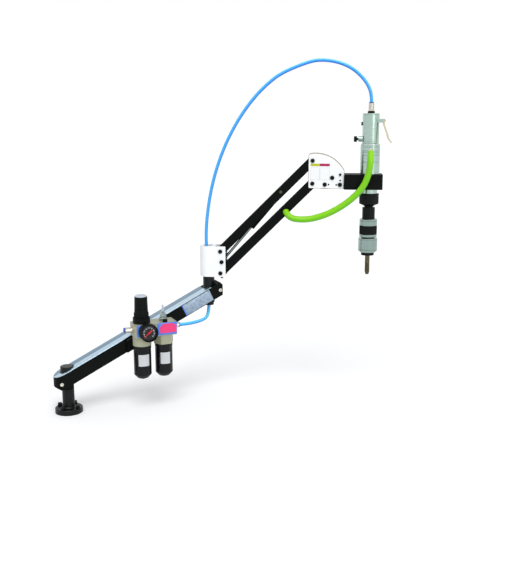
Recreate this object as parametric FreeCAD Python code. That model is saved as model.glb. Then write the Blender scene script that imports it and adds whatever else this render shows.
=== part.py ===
# Arm tapping machine: a swivelling two-arm stand that carries a pneumatic tapping motor.
# Millimetres, +Z up. The origin is the centre of the base flange's underside.
# +X is the way the first arm points. Pieces of the second arm are drawn with the elbow's
# axis as Z and the arm along +X, and then turned into place.

import FreeCAD
import Part
import os
from math import cos, hypot, pi, radians, sin, sqrt, tan

V = FreeCAD.Vector

# Fits and cuts
RUNNING_FIT = 0.04
FACE_GAP = 0.3
CAP_GAP = 0.6
SQUARE_ENOUGH = 1e-6
OVERRUN = 1.0

# Base: flange, column and the cap that keeps the first arm on
FLANGE_R = 32.0
FLANGE_T = 12.0
FLANGE_CHAMFER = 1.5
COLUMN_R = 14.0
COLUMN_TOP_Z = 57.0
COLUMN_SPIGOT_R = 9.0
COLUMN_SPIGOT_DEPTH = 9.0
COLUMN_FILLET = 3.0
JOURNAL_R = 10.0
JOURNAL_TOP_Z = 104.0
CAP_R = 15.75
CAP_BOTTOM_Z = 86.3
CAP_TOP_Z = 112.0
CAP_CHAMFER = 1.2
BASE_BOLT_R = 3.0
BASE_BOLT_WAIST_R = 2.6
BASE_BOLT_HEAD_R = 5.0
BASE_BOLT_HEAD_H = 6.0
BASE_BOLT_PCD = 50.0
BASE_BOLT_COUNT = 4
BASE_BOLT_REACH = 12.0
BASE_BOLT_FIRST_ANGLE = 45.0
HEX_SHARE = 0.55
SOCKET_DEPTH_SHARE = 0.55

# First arm: a beam that climbs from the column to the elbow
ELBOW_X = 355.0
BEAM_SLOPE = 25.64
BEAM_WIDTH = 50.0
BEAM_HEIGHT = 31.0
BEAM_WALL = 3.5
BEAM_MID_Z = 86.35
BEAM_FROM = 52.0
BEAM_TO = 352.0
SPIGOT_LENGTH = 24.0
HUB_END_CENTRE_X = -7.0
HUB_SIDE_R = 25.0
HUB_FLOOR_Z = 57.3
HUB_BOTTOM_LEFT_X = -18.0
HUB_WALL_FOOT_Z = 67.0
BUSH_OUTER_R = 13.0
BUSH_LENGTH = 12.0
CLAMP_SLIT = 2.0
PINCH_BOLT_R = 2.5
PINCH_HEAD_R = 4.3
PINCH_HEAD_H = 3.0
HUB_PINCH_X = -17.5
HUB_PINCH_Z = 75.0
ELBOW_PINCH_FROM_END = 7.0
ELBOW_PINCH_BELOW_MIDDLE = 0.94
ELBOW_BLOCK_END = 27.0
ELBOW_BLOCK_CHAMFER = 6.0
STRIP_T = 1.5
STRIP_GAP = 1.0
POST_R = 14.0
POST_BORE_R = 7.0
POST_FOOT_Z = 226.0
POST_FOOT_R = 12.0
POST_SHOULDER_Z = 299.0
POST_JOURNAL_R = 13.0
POST_MOUTH_R = 10.5
POST_MOUTH_DEPTH = 30.0
POST_TOP_Z = 366.0

# Swivel housing on the elbow post
ARM2_TURN = -29.0
HOUSING_R = 20.6
HOUSING_BOTTOM_Z = 299.3
HOUSING_TOP_Z = 374.0
HOUSING_MOUTH_R = 11.25
HOUSING_LID_T = 5.0
HOUSING_BUSH_R = 16.0
HOUSING_BUSH_LENGTH = 14.0
CHEEK_INNER_Y = 15.3
CHEEK_T = 5.2
CHEEK_END_S = 44.2
CHEEK_CORNER_R = 2.0

# Second arm: a parallelogram of two channel bars with a gas spring between them
PIVOT_BOLT_R = 4.0
PIVOT_HEAD_R = 4.9
PIVOT_HEAD_H = 2.6
UPPER_PIVOT_S = 32.0
UPPER_PIVOT_Z = 361.8
PIVOT_RISE = 53.3
BAR_LENGTH = 310.0
BAR_ANGLE = 44.8
BAR_WIDTH = 29.4
BAR_DEPTH = 21.0
BAR_WALL = 3.0
BAR_SLEEVE_R = 7.0
STOP_SCREW_S = 35.3
STOP_SCREW_FOOT_Z = 296.2
STOP_SCREW_R = 2.2
STOP_SCREW_HEAD_R = 3.0

# Gas spring
SPRING_ROOT_S = 34.9
SPRING_ROOT_Z = 336.1
SPRING_ALONG_BAR = 205.0
SPRING_BODY_R = 8.0
SPRING_BODY_LENGTH = 112.0
SPRING_ROD_R = 3.2
SPRING_ROD_INSIDE = 60.0
SPRING_BOLT_R = 3.0
SPRING_BOLT_HEAD_R = 3.6
SPRING_BOLT_HEAD_H = 1.8
SPRING_EYE_R = 7.0
SPRING_EYE_T = 7.0
SPRING_OPEN_EYE_R = 10.6
SPRING_OPEN_BORE_R = 7.6

# Head: two side plates, tool block and its screws
PLATE_T = 4.0
PLATE_INNER_Y = 15.3
PLATE_LENGTH = 84.4
PLATE_HEIGHT = 81.6
PLATE_LEFT_OF_PIVOT = 9.7
PLATE_BELOW_PIVOT = 11.0
PLATE_CORNER_R = 4.0
PLATE_CORNER_SHARES = [(0.985, -0.02), (0.0, 0.0), (0.0, 0.955)]
PLATE_ARC_SHARES = [(0.06, 0.99), (0.60, 0.902), (1.0, 0.50)]
BLOCK_SCREW_R = 3.0
BLOCK_SCREW_HEAD_R = 5.0
BLOCK_SCREW_HEAD_H = 2.4
SMALL_SCREW_R = 1.5
SMALL_SCREW_HEAD_R = 3.0
INDEX_PIN_R = 2.0
BLOCK_SCREW_SHARES = [(0.46, 0.11), (0.663, 0.305), (0.88, 0.108)]
SMALL_SCREW_SHARES = [(0.882, 0.394)]
INDEX_PIN_SHARES = [(0.565, 0.111), (0.779, 0.104), (0.884, 0.228)]
TOOL_FROM_BLOCK_END = 59.5
BLOCK_HALF_WIDTH = 30.0
BLOCK_BELOW_PLATE = 1.937
BLOCK_HEIGHT = 35.0
BLOCK_UNDER_PLATE_END = 0.167
BLOCK_LENGTH = 89.1
BLOCK_TAIL_FROM_SHARE = 0.352
BLOCK_TAIL_TO_SHARE = 0.897
BLOCK_TAIL_HEIGHT = 41.5
BLOCK_TAIL_BELOW = 0.5
BLOCK_CORNER_R = 5.0
BLOCK_SET_SCREW_R = 2.5
BLOCK_SET_SCREW_SHARES = [(0.7372, 0.88), (0.6903, 0.24)]

# Motor, drawn about its own axis; its head's fittings are placed from the joint under the head
NOSE_R = 19.0
NOSE_BELOW_BLOCK = 10.5
MOTOR_BODY_R = 23.0
MOTOR_BODY_H = 68.0
MOTOR_WALL = 3.5
GROOVE_DEPTH = 0.8
GROOVE_W = 1.6
GROOVE_SHARES = [0.41, 0.65, 0.75]
RING_R = 21.0
RING_H = 3.0
MOTOR_HEAD_R = 19.5
MOTOR_HEAD_H = 69.0
MOTOR_TOP_CHAMFER = 1.0
ROTOR_R = 15.0
ROTOR_LENGTH = 46.0
ROTOR_GAP = 6.0
ROTOR_SHAFT_R = 4.0
ROTOR_SHAFT_IN_HEAD = 8.0
FITTING_BASE_R = 7.5
FITTING_BASE_H = 12.0
FITTING_R = 6.6
FITTING_H = 11.0
FITTING_RING_H = 2.5
HOSE_R = 4.0
EXHAUST_R = 7.5
VALVE_ABOVE_JOINT = 13.0
VALVE_R = 6.2
VALVE_REACH = 9.0
BUTTON_R = 6.8
BUTTON_STEM_R = 3.0
BUTTON_LENGTH = 7.0
BUTTON_RIM = 1.4
BUTTON_TRAVEL = 3.0
SIDE_PLUG_R = 4.0
SIDE_PLUG_ABOVE_JOINT = 48.2
SIDE_PLUG_REACH = 2.6
LEVER_BRACKET_ABOVE_JOINT = 55.0
LEVER_BRACKET_W = 11.0
LEVER_PIN_OUT = 9.0
LEVER_PIN_R = 1.6
LEVER_W = 10.0
LEVER_T = 2.2
LEVER_TURN = -20.0
LEVER_POINT_SHARES = [(0.0, 1.0), (0.10, 0.80), (0.46, 0.42), (0.60, 0.20), (1.0, 0.0)]
LEVER_REACH = 21.0
LEVER_DROP = 50.0
LEVER_EAR_R = 4.2
LEVER_EAR_T = 2.0
LEVER_EYE_R = 3.4

# Below the tool block: nose nut, spindle, chuck, collar and tap, placed from the block's underside
NUT_R = 23.7
NUT_H = 25.1
NUT_CONE_H = 7.4
NUT_CONE_R = 10.5
SPINDLE_R = 15.0
SPINDLE_BELOW_BLOCK = 70.7
SHAFT_R = 7.0
SHAFT_END_BELOW_ROTOR = 4.0
CHUCK_RING_R = 21.0
CHUCK_RING_H = 16.8
CHUCK_BAND_H = 19.5
CHUCK_LOWER_RING_H = 6.8
CHUCK_CORE_R = 15.5
CHUCK_BAND_T = 4.0
SPINDLE_STUB = 12.0
COLLAR_R = 22.7
COLLAR_TOP_BELOW_BLOCK = 116.2
COLLAR_H = 34.2
COLLAR_RIM = 1.1
COLLET_R = 12.0
COLLET_BELOW_BLOCK = 157.9
TAP_R = 5.9
TAP_SHANK_R = 5.6
TAP_BELOW_BLOCK = 205.2
TAP_THREAD_H = 29.0
TAP_HOLD = 20.0
TAP_LEAD = 2.0
TAP_LEAD_H = 6.0
FLUTE_R = 2.1
FLUTE_COUNT = 4

# Air preparation unit on the side of the first arm: filter regulator, lubricator, gauge
UNIT_Y = -60.0
UNIT_DEPTH = 45.0
UNIT_BOTTOM_Z = 182.0
UNIT_TOP_Z = 213.0
UNIT_CORNER_R = 2.0
REGULATOR_X = 165.0
REGULATOR_LEFT = 21.5
UNIT_SPLIT_X = 190.0
LUBRICATOR_X = 217.0
LUBRICATOR_RIGHT = 26.5
PORT_Z = 198.5
PORT_R = 3.0
NECK_R = 21.5
NECK_HEX_R = 23.5
NECK_BOTTOM_Z = 160.0
BOWL_R = 21.0
BOWL_WALL = 2.5
BOWL_BOTTOM_Z = 81.0
BOWL_FLOOR_T = 6.0
BOWL_TIP_R = 13.0
BOWL_TIP_H = 9.0
BOWL_SLOT_W = 4.0
BOWL_SLOT_FROM_SHARE = 0.12
BOWL_SLOT_TO_SHARE = 0.72
FILTER_SLOT_ANGLE = 207.0
LUBRICATOR_SLOT_ANGLE = 222.0
DRAIN_R = 4.0
DRAIN_OUT = 4.0
DRAIN_SHOULDER_R = 6.0
DRAIN_SHOULDER_T = 1.5
ELEMENT_R = 11.0
ELEMENT_LENGTH = 38.0
ELEMENT_STEM_R = 4.0
ELEMENT_GAP = 6.0
SIPHON_R = 2.5
SIPHON_BORE_R = 1.5
SIPHON_LENGTH = 66.0
BONNET_R = 20.0
BONNET_H = 13.0
BONNET_STEM_R = 9.0
BONNET_STEM_H = 30.0
KNOB_FOOT_R = 16.2
KNOB_TOP_R = 15.0
KNOB_H = 49.0
KNOB_CAP_H = 3.0
KNOB_CAP_SHARE = 0.9
GAUGE_X = 171.0
GAUGE_Z = 197.0
GAUGE_R = 21.0
GAUGE_STEM_R = 6.0
GAUGE_STEM_LENGTH = 4.5
GAUGE_DEPTH = 17.0
GAUGE_WALL = 1.8
GAUGE_DIAL_T = 0.8
GAUGE_DIAL_DEEP = 5.5
GAUGE_LENS_T = 1.2
GAUGE_SPINDLE_R = 1.2
GAUGE_SPINDLE_H = 1.6
NEEDLE_T = 0.8
NEEDLE_LENGTH_SHARE = 0.72
NEEDLE_TAIL_SHARE = 0.45
NEEDLE_W_SHARE = 0.14
NEEDLE_ANGLE = 40.0
DOME_BASE_R = 10.0
DOME_BASE_H = 9.0
DOME_R = 8.6
DOME_H = 14.0
DOME_WALL = 1.4
DRIP_SCREW_R = 2.4
DRIP_SCREW_H = 14.0
DRIP_STEM_R = 1.6
OIL_PLUG_R = 5.5
OIL_PLUG_H = 6.0
OIL_PLUG_FROM_FRONT = 6.5
FITTING_HEX_R = 7.5
FITTING_HEX_T = 5.0
FITTING_SLEEVE_R = 6.6
FITTING_RING_R = 5.8
FITTING_RING_T = 2.5
INLET_LENGTH = 20.5
OUTLET_LENGTH = 13.5
FITTING_BORE_R = 4.05
FITTING_BORE_DEPTH = 15.0
BRACKET_FROM_X = 136.0
BRACKET_TO_X = 206.0
BRACKET_HEIGHT = 26.0

# Routes of the hoses, chosen by hand: the feed hose in the machine's frame, the others along the second arm
FEED_ROUTE = [
    (250.0, -60.0, 198.5), (266.0, -60.0, 198.5), (286.0, -57.0, 198.3), (309.0, -47.5, 198.0),
    (331.0, -31.0, 198.0),
    (345.5, -13.5, 200.0), (355.0, 0.0, 217.5), (355.0, 0.0, 241.5),
]
ARCH_ROUTE = [
    (386.0, 0.0, 712.0), (386.0, 0.0, 730.0), (377.5, 0.0, 753.0), (361.0, 0.0, 773.5), (339.0, 0.0, 791.5),
    (311.5, 0.0, 803.5), (280.0, 0.0, 809.5), (246.0, 0.0, 808.3), (212.0, 0.0, 795.15),
]
RISER_ROUTE = [
    (212.0, 0.0, 795.15), (178.0, 0.0, 782.0), (145.0, 0.0, 757.5), (115.5, 0.0, 728.5), (89.0, 0.0, 695.0),
    (65.0, 0.0, 657.5), (43.5, 0.0, 615.5), (25.5, 0.0, 570.0), (11.5, 0.0, 522.5), (2.0, 0.0, 474.5),
    (-4.0, 0.0, 427.0), (-5.4, 0.0, 385.0), (-3.0, 0.0, 347.0), (-0.4, 0.0, 308.5), (0.0, 0.0, 270.0),
]
EXHAUST_ROUTE = [
    (386.0, -29.0, 599.5), (385.5, -41.0, 591.5), (384.5, -43.5, 571.5), (380.5, -43.0, 546.0),
    (369.5, -42.0, 521.0),
    (349.5, -41.0, 498.0), (322.5, -40.0, 476.5), (289.0, -39.5, 457.5), (250.0, -39.0, 445.0),
    (219.0, -38.5, 444.0),
    (202.5, -36.0, 447.5), (193.5, -30.0, 455.0), (190.0, -21.5, 461.0),
]
BEND_SHARE = 0.45
GROMMET_R = 8.0
HOSE_CORE_R = 2.75
EXHAUST_CORE_R = 5.5

# Places worked out from the values above
ELBOW = V(ELBOW_X, 0, 0)
BEAM_TILT = radians(BEAM_SLOPE)
BEAM_HALF = BEAM_HEIGHT / 2
HALF_WIDTH = BEAM_WIDTH / 2
UPPER_PIVOT = V(UPPER_PIVOT_S, 0, UPPER_PIVOT_Z)
LOWER_PIVOT = UPPER_PIVOT - V(0, 0, PIVOT_RISE)
BAR_DIRECTION = V(cos(radians(BAR_ANGLE)), 0, sin(radians(BAR_ANGLE)))
UPPER_HEAD_PIVOT = UPPER_PIVOT + BAR_DIRECTION * BAR_LENGTH
LOWER_HEAD_PIVOT = LOWER_PIVOT + BAR_DIRECTION * BAR_LENGTH
SPRING_ROOT = V(SPRING_ROOT_S, 0, SPRING_ROOT_Z)
SPRING_HEAD = UPPER_PIVOT + BAR_DIRECTION * SPRING_ALONG_BAR
PLATE_CORNER = LOWER_HEAD_PIVOT - V(PLATE_LEFT_OF_PIVOT, 0, PLATE_BELOW_PIVOT)
BLOCK_FROM_S = PLATE_CORNER.x + PLATE_LENGTH - BLOCK_UNDER_PLATE_END
BLOCK_TO_S = BLOCK_FROM_S + BLOCK_LENGTH
TOOL_AXIS_S = BLOCK_FROM_S + TOOL_FROM_BLOCK_END
BLOCK_BOTTOM_Z = PLATE_CORNER.z - BLOCK_BELOW_PLATE
BLOCK_TOP_Z = BLOCK_BOTTOM_Z + BLOCK_HEIGHT
NOSE_BOTTOM_Z = BLOCK_BOTTOM_Z - NOSE_BELOW_BLOCK
SPINDLE_BOTTOM_Z = BLOCK_BOTTOM_Z - SPINDLE_BELOW_BLOCK
COLLAR_TOP_Z = BLOCK_BOTTOM_Z - COLLAR_TOP_BELOW_BLOCK
COLLET_BOTTOM_Z = BLOCK_BOTTOM_Z - COLLET_BELOW_BLOCK
TAP_BOTTOM_Z = BLOCK_BOTTOM_Z - TAP_BELOW_BLOCK
MOTOR_HEAD_Z = BLOCK_TOP_Z + MOTOR_BODY_H
MOTOR_TOP_Z = MOTOR_HEAD_Z + RING_H + MOTOR_HEAD_H
TOOL_AXIS = V(TOOL_AXIS_S, 0, 0)
VALVE_Z = MOTOR_HEAD_Z + VALVE_ABOVE_JOINT
SIDE_PLUG_Z = MOTOR_HEAD_Z + SIDE_PLUG_ABOVE_JOINT
LEVER_BRACKET_Z = MOTOR_HEAD_Z + LEVER_BRACKET_ABOVE_JOINT
UNIT_FRONT_Y = UNIT_Y - UNIT_DEPTH / 2
UNIT_BACK_Y = UNIT_Y + UNIT_DEPTH / 2
UP = V(0, 0, 1)
DOWN = V(0, 0, -1)
ALONG_X = V(1, 0, 0)
ALONG_Y = V(0, 1, 0)
NEAR = V(0, -1, 0)


def save(name, *solids):
    """Write one sub-part; several solids stay separate in it."""
    shape = solids[0] if len(solids) == 1 else Part.makeCompound(list(solids))
    shape.exportStep(f"parts/{name}.step")


def rod(radius, start, end):
    """A round bar between two points."""
    return Part.makeCylinder(radius, (end - start).Length, start, end - start)


def box(x, y, z):
    """A block given by its span along each axis."""
    return Part.makeBox(x[1] - x[0], y[1] - y[0], z[1] - z[0], V(x[0], y[0], z[0]))


def turned(profile, base, direction=UP):
    """A body of revolution: (radius, height) pairs go round the axis along the direction."""
    points = [V(r, 0, h) for r, h in profile]
    solid = Part.Face(Part.makePolygon(points + points[:1])).revolve(V(), UP, 360)
    solid.Placement = FreeCAD.Placement(base, FreeCAD.Rotation(UP, direction))
    return solid


def side_profile(points, half_width, middle=0):
    """A plate whose (x, z) outline is stretched to both sides of y = middle."""
    corners = [V(x, middle - half_width, z) for x, z in points]
    return Part.Face(Part.makePolygon(corners + corners[:1])).extrude(ALONG_Y * (2 * half_width))


def hexagon(corner_radius, height, base, direction=UP):
    """A hexagonal prism standing on the base."""
    corners = [V(corner_radius * cos(k * pi / 3), corner_radius * sin(k * pi / 3), 0) for k in range(6)]
    solid = Part.Face(Part.makePolygon(corners + corners[:1])).extrude(UP * height)
    solid.Placement = FreeCAD.Placement(base, FreeCAD.Rotation(UP, direction))
    return solid


def edges_along(solid, direction):
    """The straight edges that run along one direction."""
    straight = [e for e in solid.Edges if isinstance(e.Curve, Part.Line)]
    return [e for e in straight if abs(abs(e.tangentAt(e.FirstParameter) * direction) - 1) < SQUARE_ENOUGH]


def round_edges(solid, radius, direction):
    """Round the straight edges that run along one direction."""
    return solid.makeFillet(radius, edges_along(solid, direction))


def screw(seat, out, shank_r, shank_length, head_r, head_h):
    """A hexagon socket screw: its head stands on the seat, its shank goes the other way."""
    head = rod(head_r, seat, seat + out * head_h)
    head = head.fuse(rod(shank_r, seat, seat - out * shank_length)).removeSplitter()
    depth = head_h * SOCKET_DEPTH_SHARE
    return head.cut(hexagon(head_r * HEX_SHARE, depth + OVERRUN, seat + out * (head_h - depth), out))


def to_arm2(solid):
    """Turn a piece drawn along the second arm into its place in the machine."""
    moved = solid.copy()
    moved.rotate(V(), UP, ARM2_TURN)
    moved.translate(ELBOW)
    return moved


def beam_z(x, side):
    """Height of the first arm's top (side 1), middle (0) or bottom (-1) above a place on the X axis."""
    return BEAM_MID_Z + x * tan(BEAM_TILT) + side * BEAM_HALF / cos(BEAM_TILT)


def on_beam(t, n):
    """The (x, z) of a point given along the beam and square to it."""
    return (t * cos(BEAM_TILT) - n * sin(BEAM_TILT), BEAM_MID_Z + t * sin(BEAM_TILT) + n * cos(BEAM_TILT))


def beam_block(t, half_width, half_height):
    """A block that lies along the beam."""
    corners = [on_beam(t[0], -half_height), on_beam(t[1], -half_height)]
    corners += [on_beam(t[1], half_height), on_beam(t[0], half_height)]
    return side_profile(corners, half_width)


def beam_bore(start, end):
    """What fills the inside of the beam between two places along it."""
    return beam_block((start, end), HALF_WIDTH - BEAM_WALL, BEAM_HALF - BEAM_WALL)


# Base


def base_flange():
    rim = FLANGE_T - FLANGE_CHAMFER
    profile = [(0, 0), (FLANGE_R, 0), (FLANGE_R, rim), (FLANGE_R - FLANGE_CHAMFER, FLANGE_T), (0, FLANGE_T)]
    flange = turned(profile, V())
    socket_floor = UP * (FLANGE_T - COLUMN_SPIGOT_DEPTH)
    flange = flange.cut(rod(COLUMN_SPIGOT_R, socket_floor, UP * (FLANGE_T + OVERRUN)))
    for place in base_bolt_places():
        flange = flange.cut(rod(BASE_BOLT_R, place - UP * OVERRUN, place + UP * (FLANGE_T + OVERRUN)))
    save("base_flange", flange)


def base_bolt_places():
    step = 360 / BASE_BOLT_COUNT
    angles = [radians(BASE_BOLT_FIRST_ANGLE + k * step) for k in range(BASE_BOLT_COUNT)]
    return [V(cos(a), sin(a), 0) * (BASE_BOLT_PCD / 2) for a in angles]


def base_bolts():
    """Cap screws with a narrow waist through the flange and a full thread below it."""
    bolts = []
    for place in base_bolt_places():
        seat = place + UP * FLANGE_T
        bolt = screw(seat, UP, BASE_BOLT_WAIST_R, FLANGE_T, BASE_BOLT_HEAD_R, BASE_BOLT_HEAD_H)
        bolts.append(bolt.fuse(rod(BASE_BOLT_R, place, place - UP * BASE_BOLT_REACH)))
    save("base_bolts", *bolts)


def base_column():
    foot = FLANGE_T + COLUMN_FILLET
    profile = [
        (0, FLANGE_T - COLUMN_SPIGOT_DEPTH), (COLUMN_SPIGOT_R, FLANGE_T - COLUMN_SPIGOT_DEPTH),
        (COLUMN_SPIGOT_R, FLANGE_T), (COLUMN_R + COLUMN_FILLET, FLANGE_T), (COLUMN_R, foot),
        (COLUMN_R, COLUMN_TOP_Z), (JOURNAL_R, COLUMN_TOP_Z), (JOURNAL_R, JOURNAL_TOP_Z), (0, JOURNAL_TOP_Z),
    ]
    save("base_column", turned(profile, V()))


def column_cap():
    profile = [
        (JOURNAL_R, CAP_BOTTOM_Z), (CAP_R, CAP_BOTTOM_Z), (CAP_R, CAP_TOP_Z - CAP_CHAMFER),
        (CAP_R - CAP_CHAMFER, CAP_TOP_Z), (0, CAP_TOP_Z), (0, JOURNAL_TOP_Z), (JOURNAL_R, JOURNAL_TOP_Z),
    ]
    save("column_cap", turned(profile, V()))


# First arm


def base_hub():
    left = HUB_END_CENTRE_X - HUB_SIDE_R
    end_low = on_beam(BEAM_FROM, -BEAM_HALF)
    end_high = on_beam(BEAM_FROM, BEAM_HALF)
    outline = [
        (left, beam_z(left, 1)), (left, HUB_WALL_FOOT_Z),
        (HUB_BOTTOM_LEFT_X, beam_z(HUB_BOTTOM_LEFT_X, -1)), end_low, end_high,
    ]
    hub = side_profile(outline, HALF_WIDTH)
    heights = (0, CAP_TOP_Z + HALF_WIDTH)
    plan = rod(HUB_SIDE_R, V(HUB_END_CENTRE_X, 0, heights[0]), V(HUB_END_CENTRE_X, 0, heights[1]))
    plan = plan.fuse(box((HUB_END_CENTRE_X, end_low[0] + BEAM_HEIGHT), (-HUB_SIDE_R, HUB_SIDE_R), heights))
    hub = hub.common(plan)
    hub = hub.fuse(rod(COLUMN_R, V(0, 0, HUB_FLOOR_Z), V(0, 0, BEAM_MID_Z)))
    spigot = beam_bore(BEAM_FROM - OVERRUN, BEAM_FROM + SPIGOT_LENGTH)
    hub = hub.fuse(spigot).removeSplitter()
    floor = V(0, 0, CAP_BOTTOM_Z - FACE_GAP)
    hub = hub.cut(rod(BUSH_OUTER_R, V(), floor))
    hub = hub.cut(rod(CAP_R + CAP_GAP, floor, V(0, 0, CAP_TOP_Z + OVERRUN)))
    slit = box((left - OVERRUN, -JOURNAL_R), (-CLAMP_SLIT / 2, CLAMP_SLIT / 2), heights)
    hub = hub.cut(slit)
    hole = V(HUB_PINCH_X, 0, HUB_PINCH_Z)
    hub = hub.cut(rod(PINCH_BOLT_R, hole + NEAR * HALF_WIDTH, hole - NEAR * HALF_WIDTH))
    seat = hole + NEAR * hub_pinch_seat()
    save("base_hub", hub.cut(rod(PINCH_HEAD_R + FACE_GAP, seat, seat + NEAR * HALF_WIDTH)))


def hub_half_width(x):
    """Half the hub's width in plan at a place on its rounded end."""
    return sqrt(HUB_SIDE_R**2 - (x - HUB_END_CENTRE_X)**2)


def hub_pinch_seat():
    """How far from the middle the flat lies that the hub's pinch bolt is seated on."""
    return hub_half_width(HUB_PINCH_X - PINCH_HEAD_R)


def column_bushes():
    inner = JOURNAL_R + RUNNING_FIT
    tops = [HUB_FLOOR_Z + BUSH_LENGTH, CAP_BOTTOM_Z - FACE_GAP]
    rings = [
        rod(BUSH_OUTER_R, UP * (z - BUSH_LENGTH), UP * z).cut(rod(inner, UP * (z - BUSH_LENGTH), UP * z))
        for z in tops
    ]
    save("column_bushes", *rings)


def pinch_bolts():
    at_hub = V(HUB_PINCH_X, -hub_pinch_seat(), HUB_PINCH_Z)
    at_elbow = elbow_pinch() + NEAR * HALF_WIDTH
    save(
        "pinch_bolts",
        screw(at_hub, NEAR, PINCH_BOLT_R, 2 * hub_pinch_seat(), PINCH_HEAD_R, PINCH_HEAD_H),
        screw(at_elbow, NEAR, PINCH_BOLT_R, 2 * HALF_WIDTH, PINCH_HEAD_R, PINCH_HEAD_H),
    )


def elbow_pinch():
    """Middle of the pinch bolt that closes the elbow block on the post."""
    x = ELBOW_X + ELBOW_BLOCK_END - ELBOW_PINCH_FROM_END
    return V(x, 0, beam_z(x, 0) - ELBOW_PINCH_BELOW_MIDDLE)


def lower_arm_beam():
    tube = beam_block((BEAM_FROM, BEAM_TO), HALF_WIDTH, BEAM_HALF)
    inside = beam_bore(BEAM_FROM - OVERRUN, BEAM_TO + OVERRUN)
    save("lower_arm_beam", tube.cut(inside))


def beam_top_strip():
    ends = ((CAP_R + STRIP_GAP) / cos(BEAM_TILT), (ELBOW_X - POST_R - STRIP_GAP) / cos(BEAM_TILT))
    low, high = BEAM_HALF, BEAM_HALF + STRIP_T
    outline = [on_beam(ends[0], low), on_beam(ends[1], low), on_beam(ends[1], high), on_beam(ends[0], high)]
    strip = side_profile(outline, HALF_WIDTH)
    clear = CAP_R + STRIP_GAP
    strip = strip.cut(rod(clear, V(0, 0, 0), V(0, 0, CAP_TOP_Z)))
    save("beam_top_strip", strip.cut(rod(POST_R + STRIP_GAP, ELBOW, ELBOW + UP * HOUSING_TOP_Z)))


def elbow_block():
    end = ELBOW_X + ELBOW_BLOCK_END
    top = beam_z(end - ELBOW_BLOCK_CHAMFER, 1)
    outline = [
        on_beam(BEAM_TO, -BEAM_HALF), (end, beam_z(end, -1)), (end, top - ELBOW_BLOCK_CHAMFER),
        (end - ELBOW_BLOCK_CHAMFER, top), on_beam(BEAM_TO, BEAM_HALF),
    ]
    block = side_profile(outline, HALF_WIDTH)
    spigot = beam_bore(BEAM_TO - SPIGOT_LENGTH, BEAM_TO + OVERRUN)
    block = block.fuse(spigot).removeSplitter()
    block = block.cut(rod(POST_R, ELBOW + UP * POST_FOOT_Z, ELBOW + UP * HOUSING_TOP_Z))
    slit = box((ELBOW_X, end + OVERRUN), (-CLAMP_SLIT / 2, CLAMP_SLIT / 2), (POST_FOOT_Z, HOUSING_TOP_Z))
    block = block.cut(slit)
    hole = elbow_pinch()
    save("elbow_block", block.cut(rod(PINCH_BOLT_R, hole + NEAR * HALF_WIDTH, hole - NEAR * HALF_WIDTH)))


def elbow_post():
    foot_top = beam_z(ELBOW_X - POST_R, -1)
    mouth = POST_TOP_Z - POST_MOUTH_DEPTH
    profile = [
        (POST_BORE_R, POST_FOOT_Z), (POST_FOOT_R, POST_FOOT_Z), (POST_FOOT_R, foot_top), (POST_R, foot_top),
        (POST_R, POST_SHOULDER_Z), (POST_JOURNAL_R, POST_SHOULDER_Z), (POST_JOURNAL_R, POST_TOP_Z),
        (POST_MOUTH_R, POST_TOP_Z), (POST_BORE_R, mouth),
    ]
    save("elbow_post", turned(profile, ELBOW))


# Swivel housing


def swivel_housing():
    outer = CHEEK_INNER_Y + CHEEK_T
    span = (HOUSING_BOTTOM_Z, HOUSING_TOP_Z)
    cheeks = round_edges(box((0, CHEEK_END_S), (-outer, outer), span), CHEEK_CORNER_R, ALONG_Y)
    between = (-CHEEK_INNER_Y, CHEEK_INNER_Y)
    cheeks = cheeks.cut(box((0, CHEEK_END_S + OVERRUN), between, (0, span[1] + OVERRUN)))
    body = rod(HOUSING_R, UP * span[0], UP * span[1]).fuse(cheeks)
    body = body.cut(rod(HOUSING_BUSH_R, UP * (span[0] - OVERRUN), UP * (span[1] - HOUSING_LID_T)))
    body = body.cut(rod(HOUSING_MOUTH_R, UP * span[0], UP * (span[1] + OVERRUN)))
    for place in (UPPER_PIVOT, LOWER_PIVOT, SPRING_ROOT):
        body = body.cut(rod(PIVOT_BOLT_R, place + NEAR * (outer + OVERRUN), place - NEAR * (outer + OVERRUN)))
    thread = stop_screw_seat()
    body = body.cut(rod(STOP_SCREW_R, thread, thread + UP * CHEEK_T))
    save("swivel_housing", to_arm2(body.removeSplitter()))


def stop_screw_seat():
    """Where the stop screw's head meets the underside of the near cheek."""
    return V(STOP_SCREW_S, -(CHEEK_INNER_Y + CHEEK_T / 2), HOUSING_BOTTOM_Z)


def swivel_bushes():
    inner = POST_JOURNAL_R + RUNNING_FIT
    feet = [HOUSING_BOTTOM_Z, POST_TOP_Z - HOUSING_BUSH_LENGTH]
    rings = [
        turned([(inner, z), (HOUSING_BUSH_R, z), (HOUSING_BUSH_R, z + HOUSING_BUSH_LENGTH),
                (inner, z + HOUSING_BUSH_LENGTH)], V())
        for z in feet
    ]
    save("swivel_bushes", *[to_arm2(ring) for ring in rings])


def cross_bolt(place, half_width, radius, head_r, head_h):
    """A bolt across the arm, its socket head on the near side."""
    return screw(place + NEAR * half_width, NEAR, radius, 2 * half_width, head_r, head_h)


def housing_bolts():
    outer = CHEEK_INNER_Y + CHEEK_T
    places = (UPPER_PIVOT, LOWER_PIVOT, SPRING_ROOT)
    bolts = [cross_bolt(p, outer, PIVOT_BOLT_R, PIVOT_HEAD_R, PIVOT_HEAD_H) for p in places]
    seat = stop_screw_seat()
    head_h = HOUSING_BOTTOM_Z - STOP_SCREW_FOOT_Z
    bolts.append(screw(seat, DOWN, STOP_SCREW_R, CHEEK_T, STOP_SCREW_HEAD_R, head_h))
    save("housing_bolts", *[to_arm2(bolt) for bolt in bolts])


# Second arm


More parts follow.
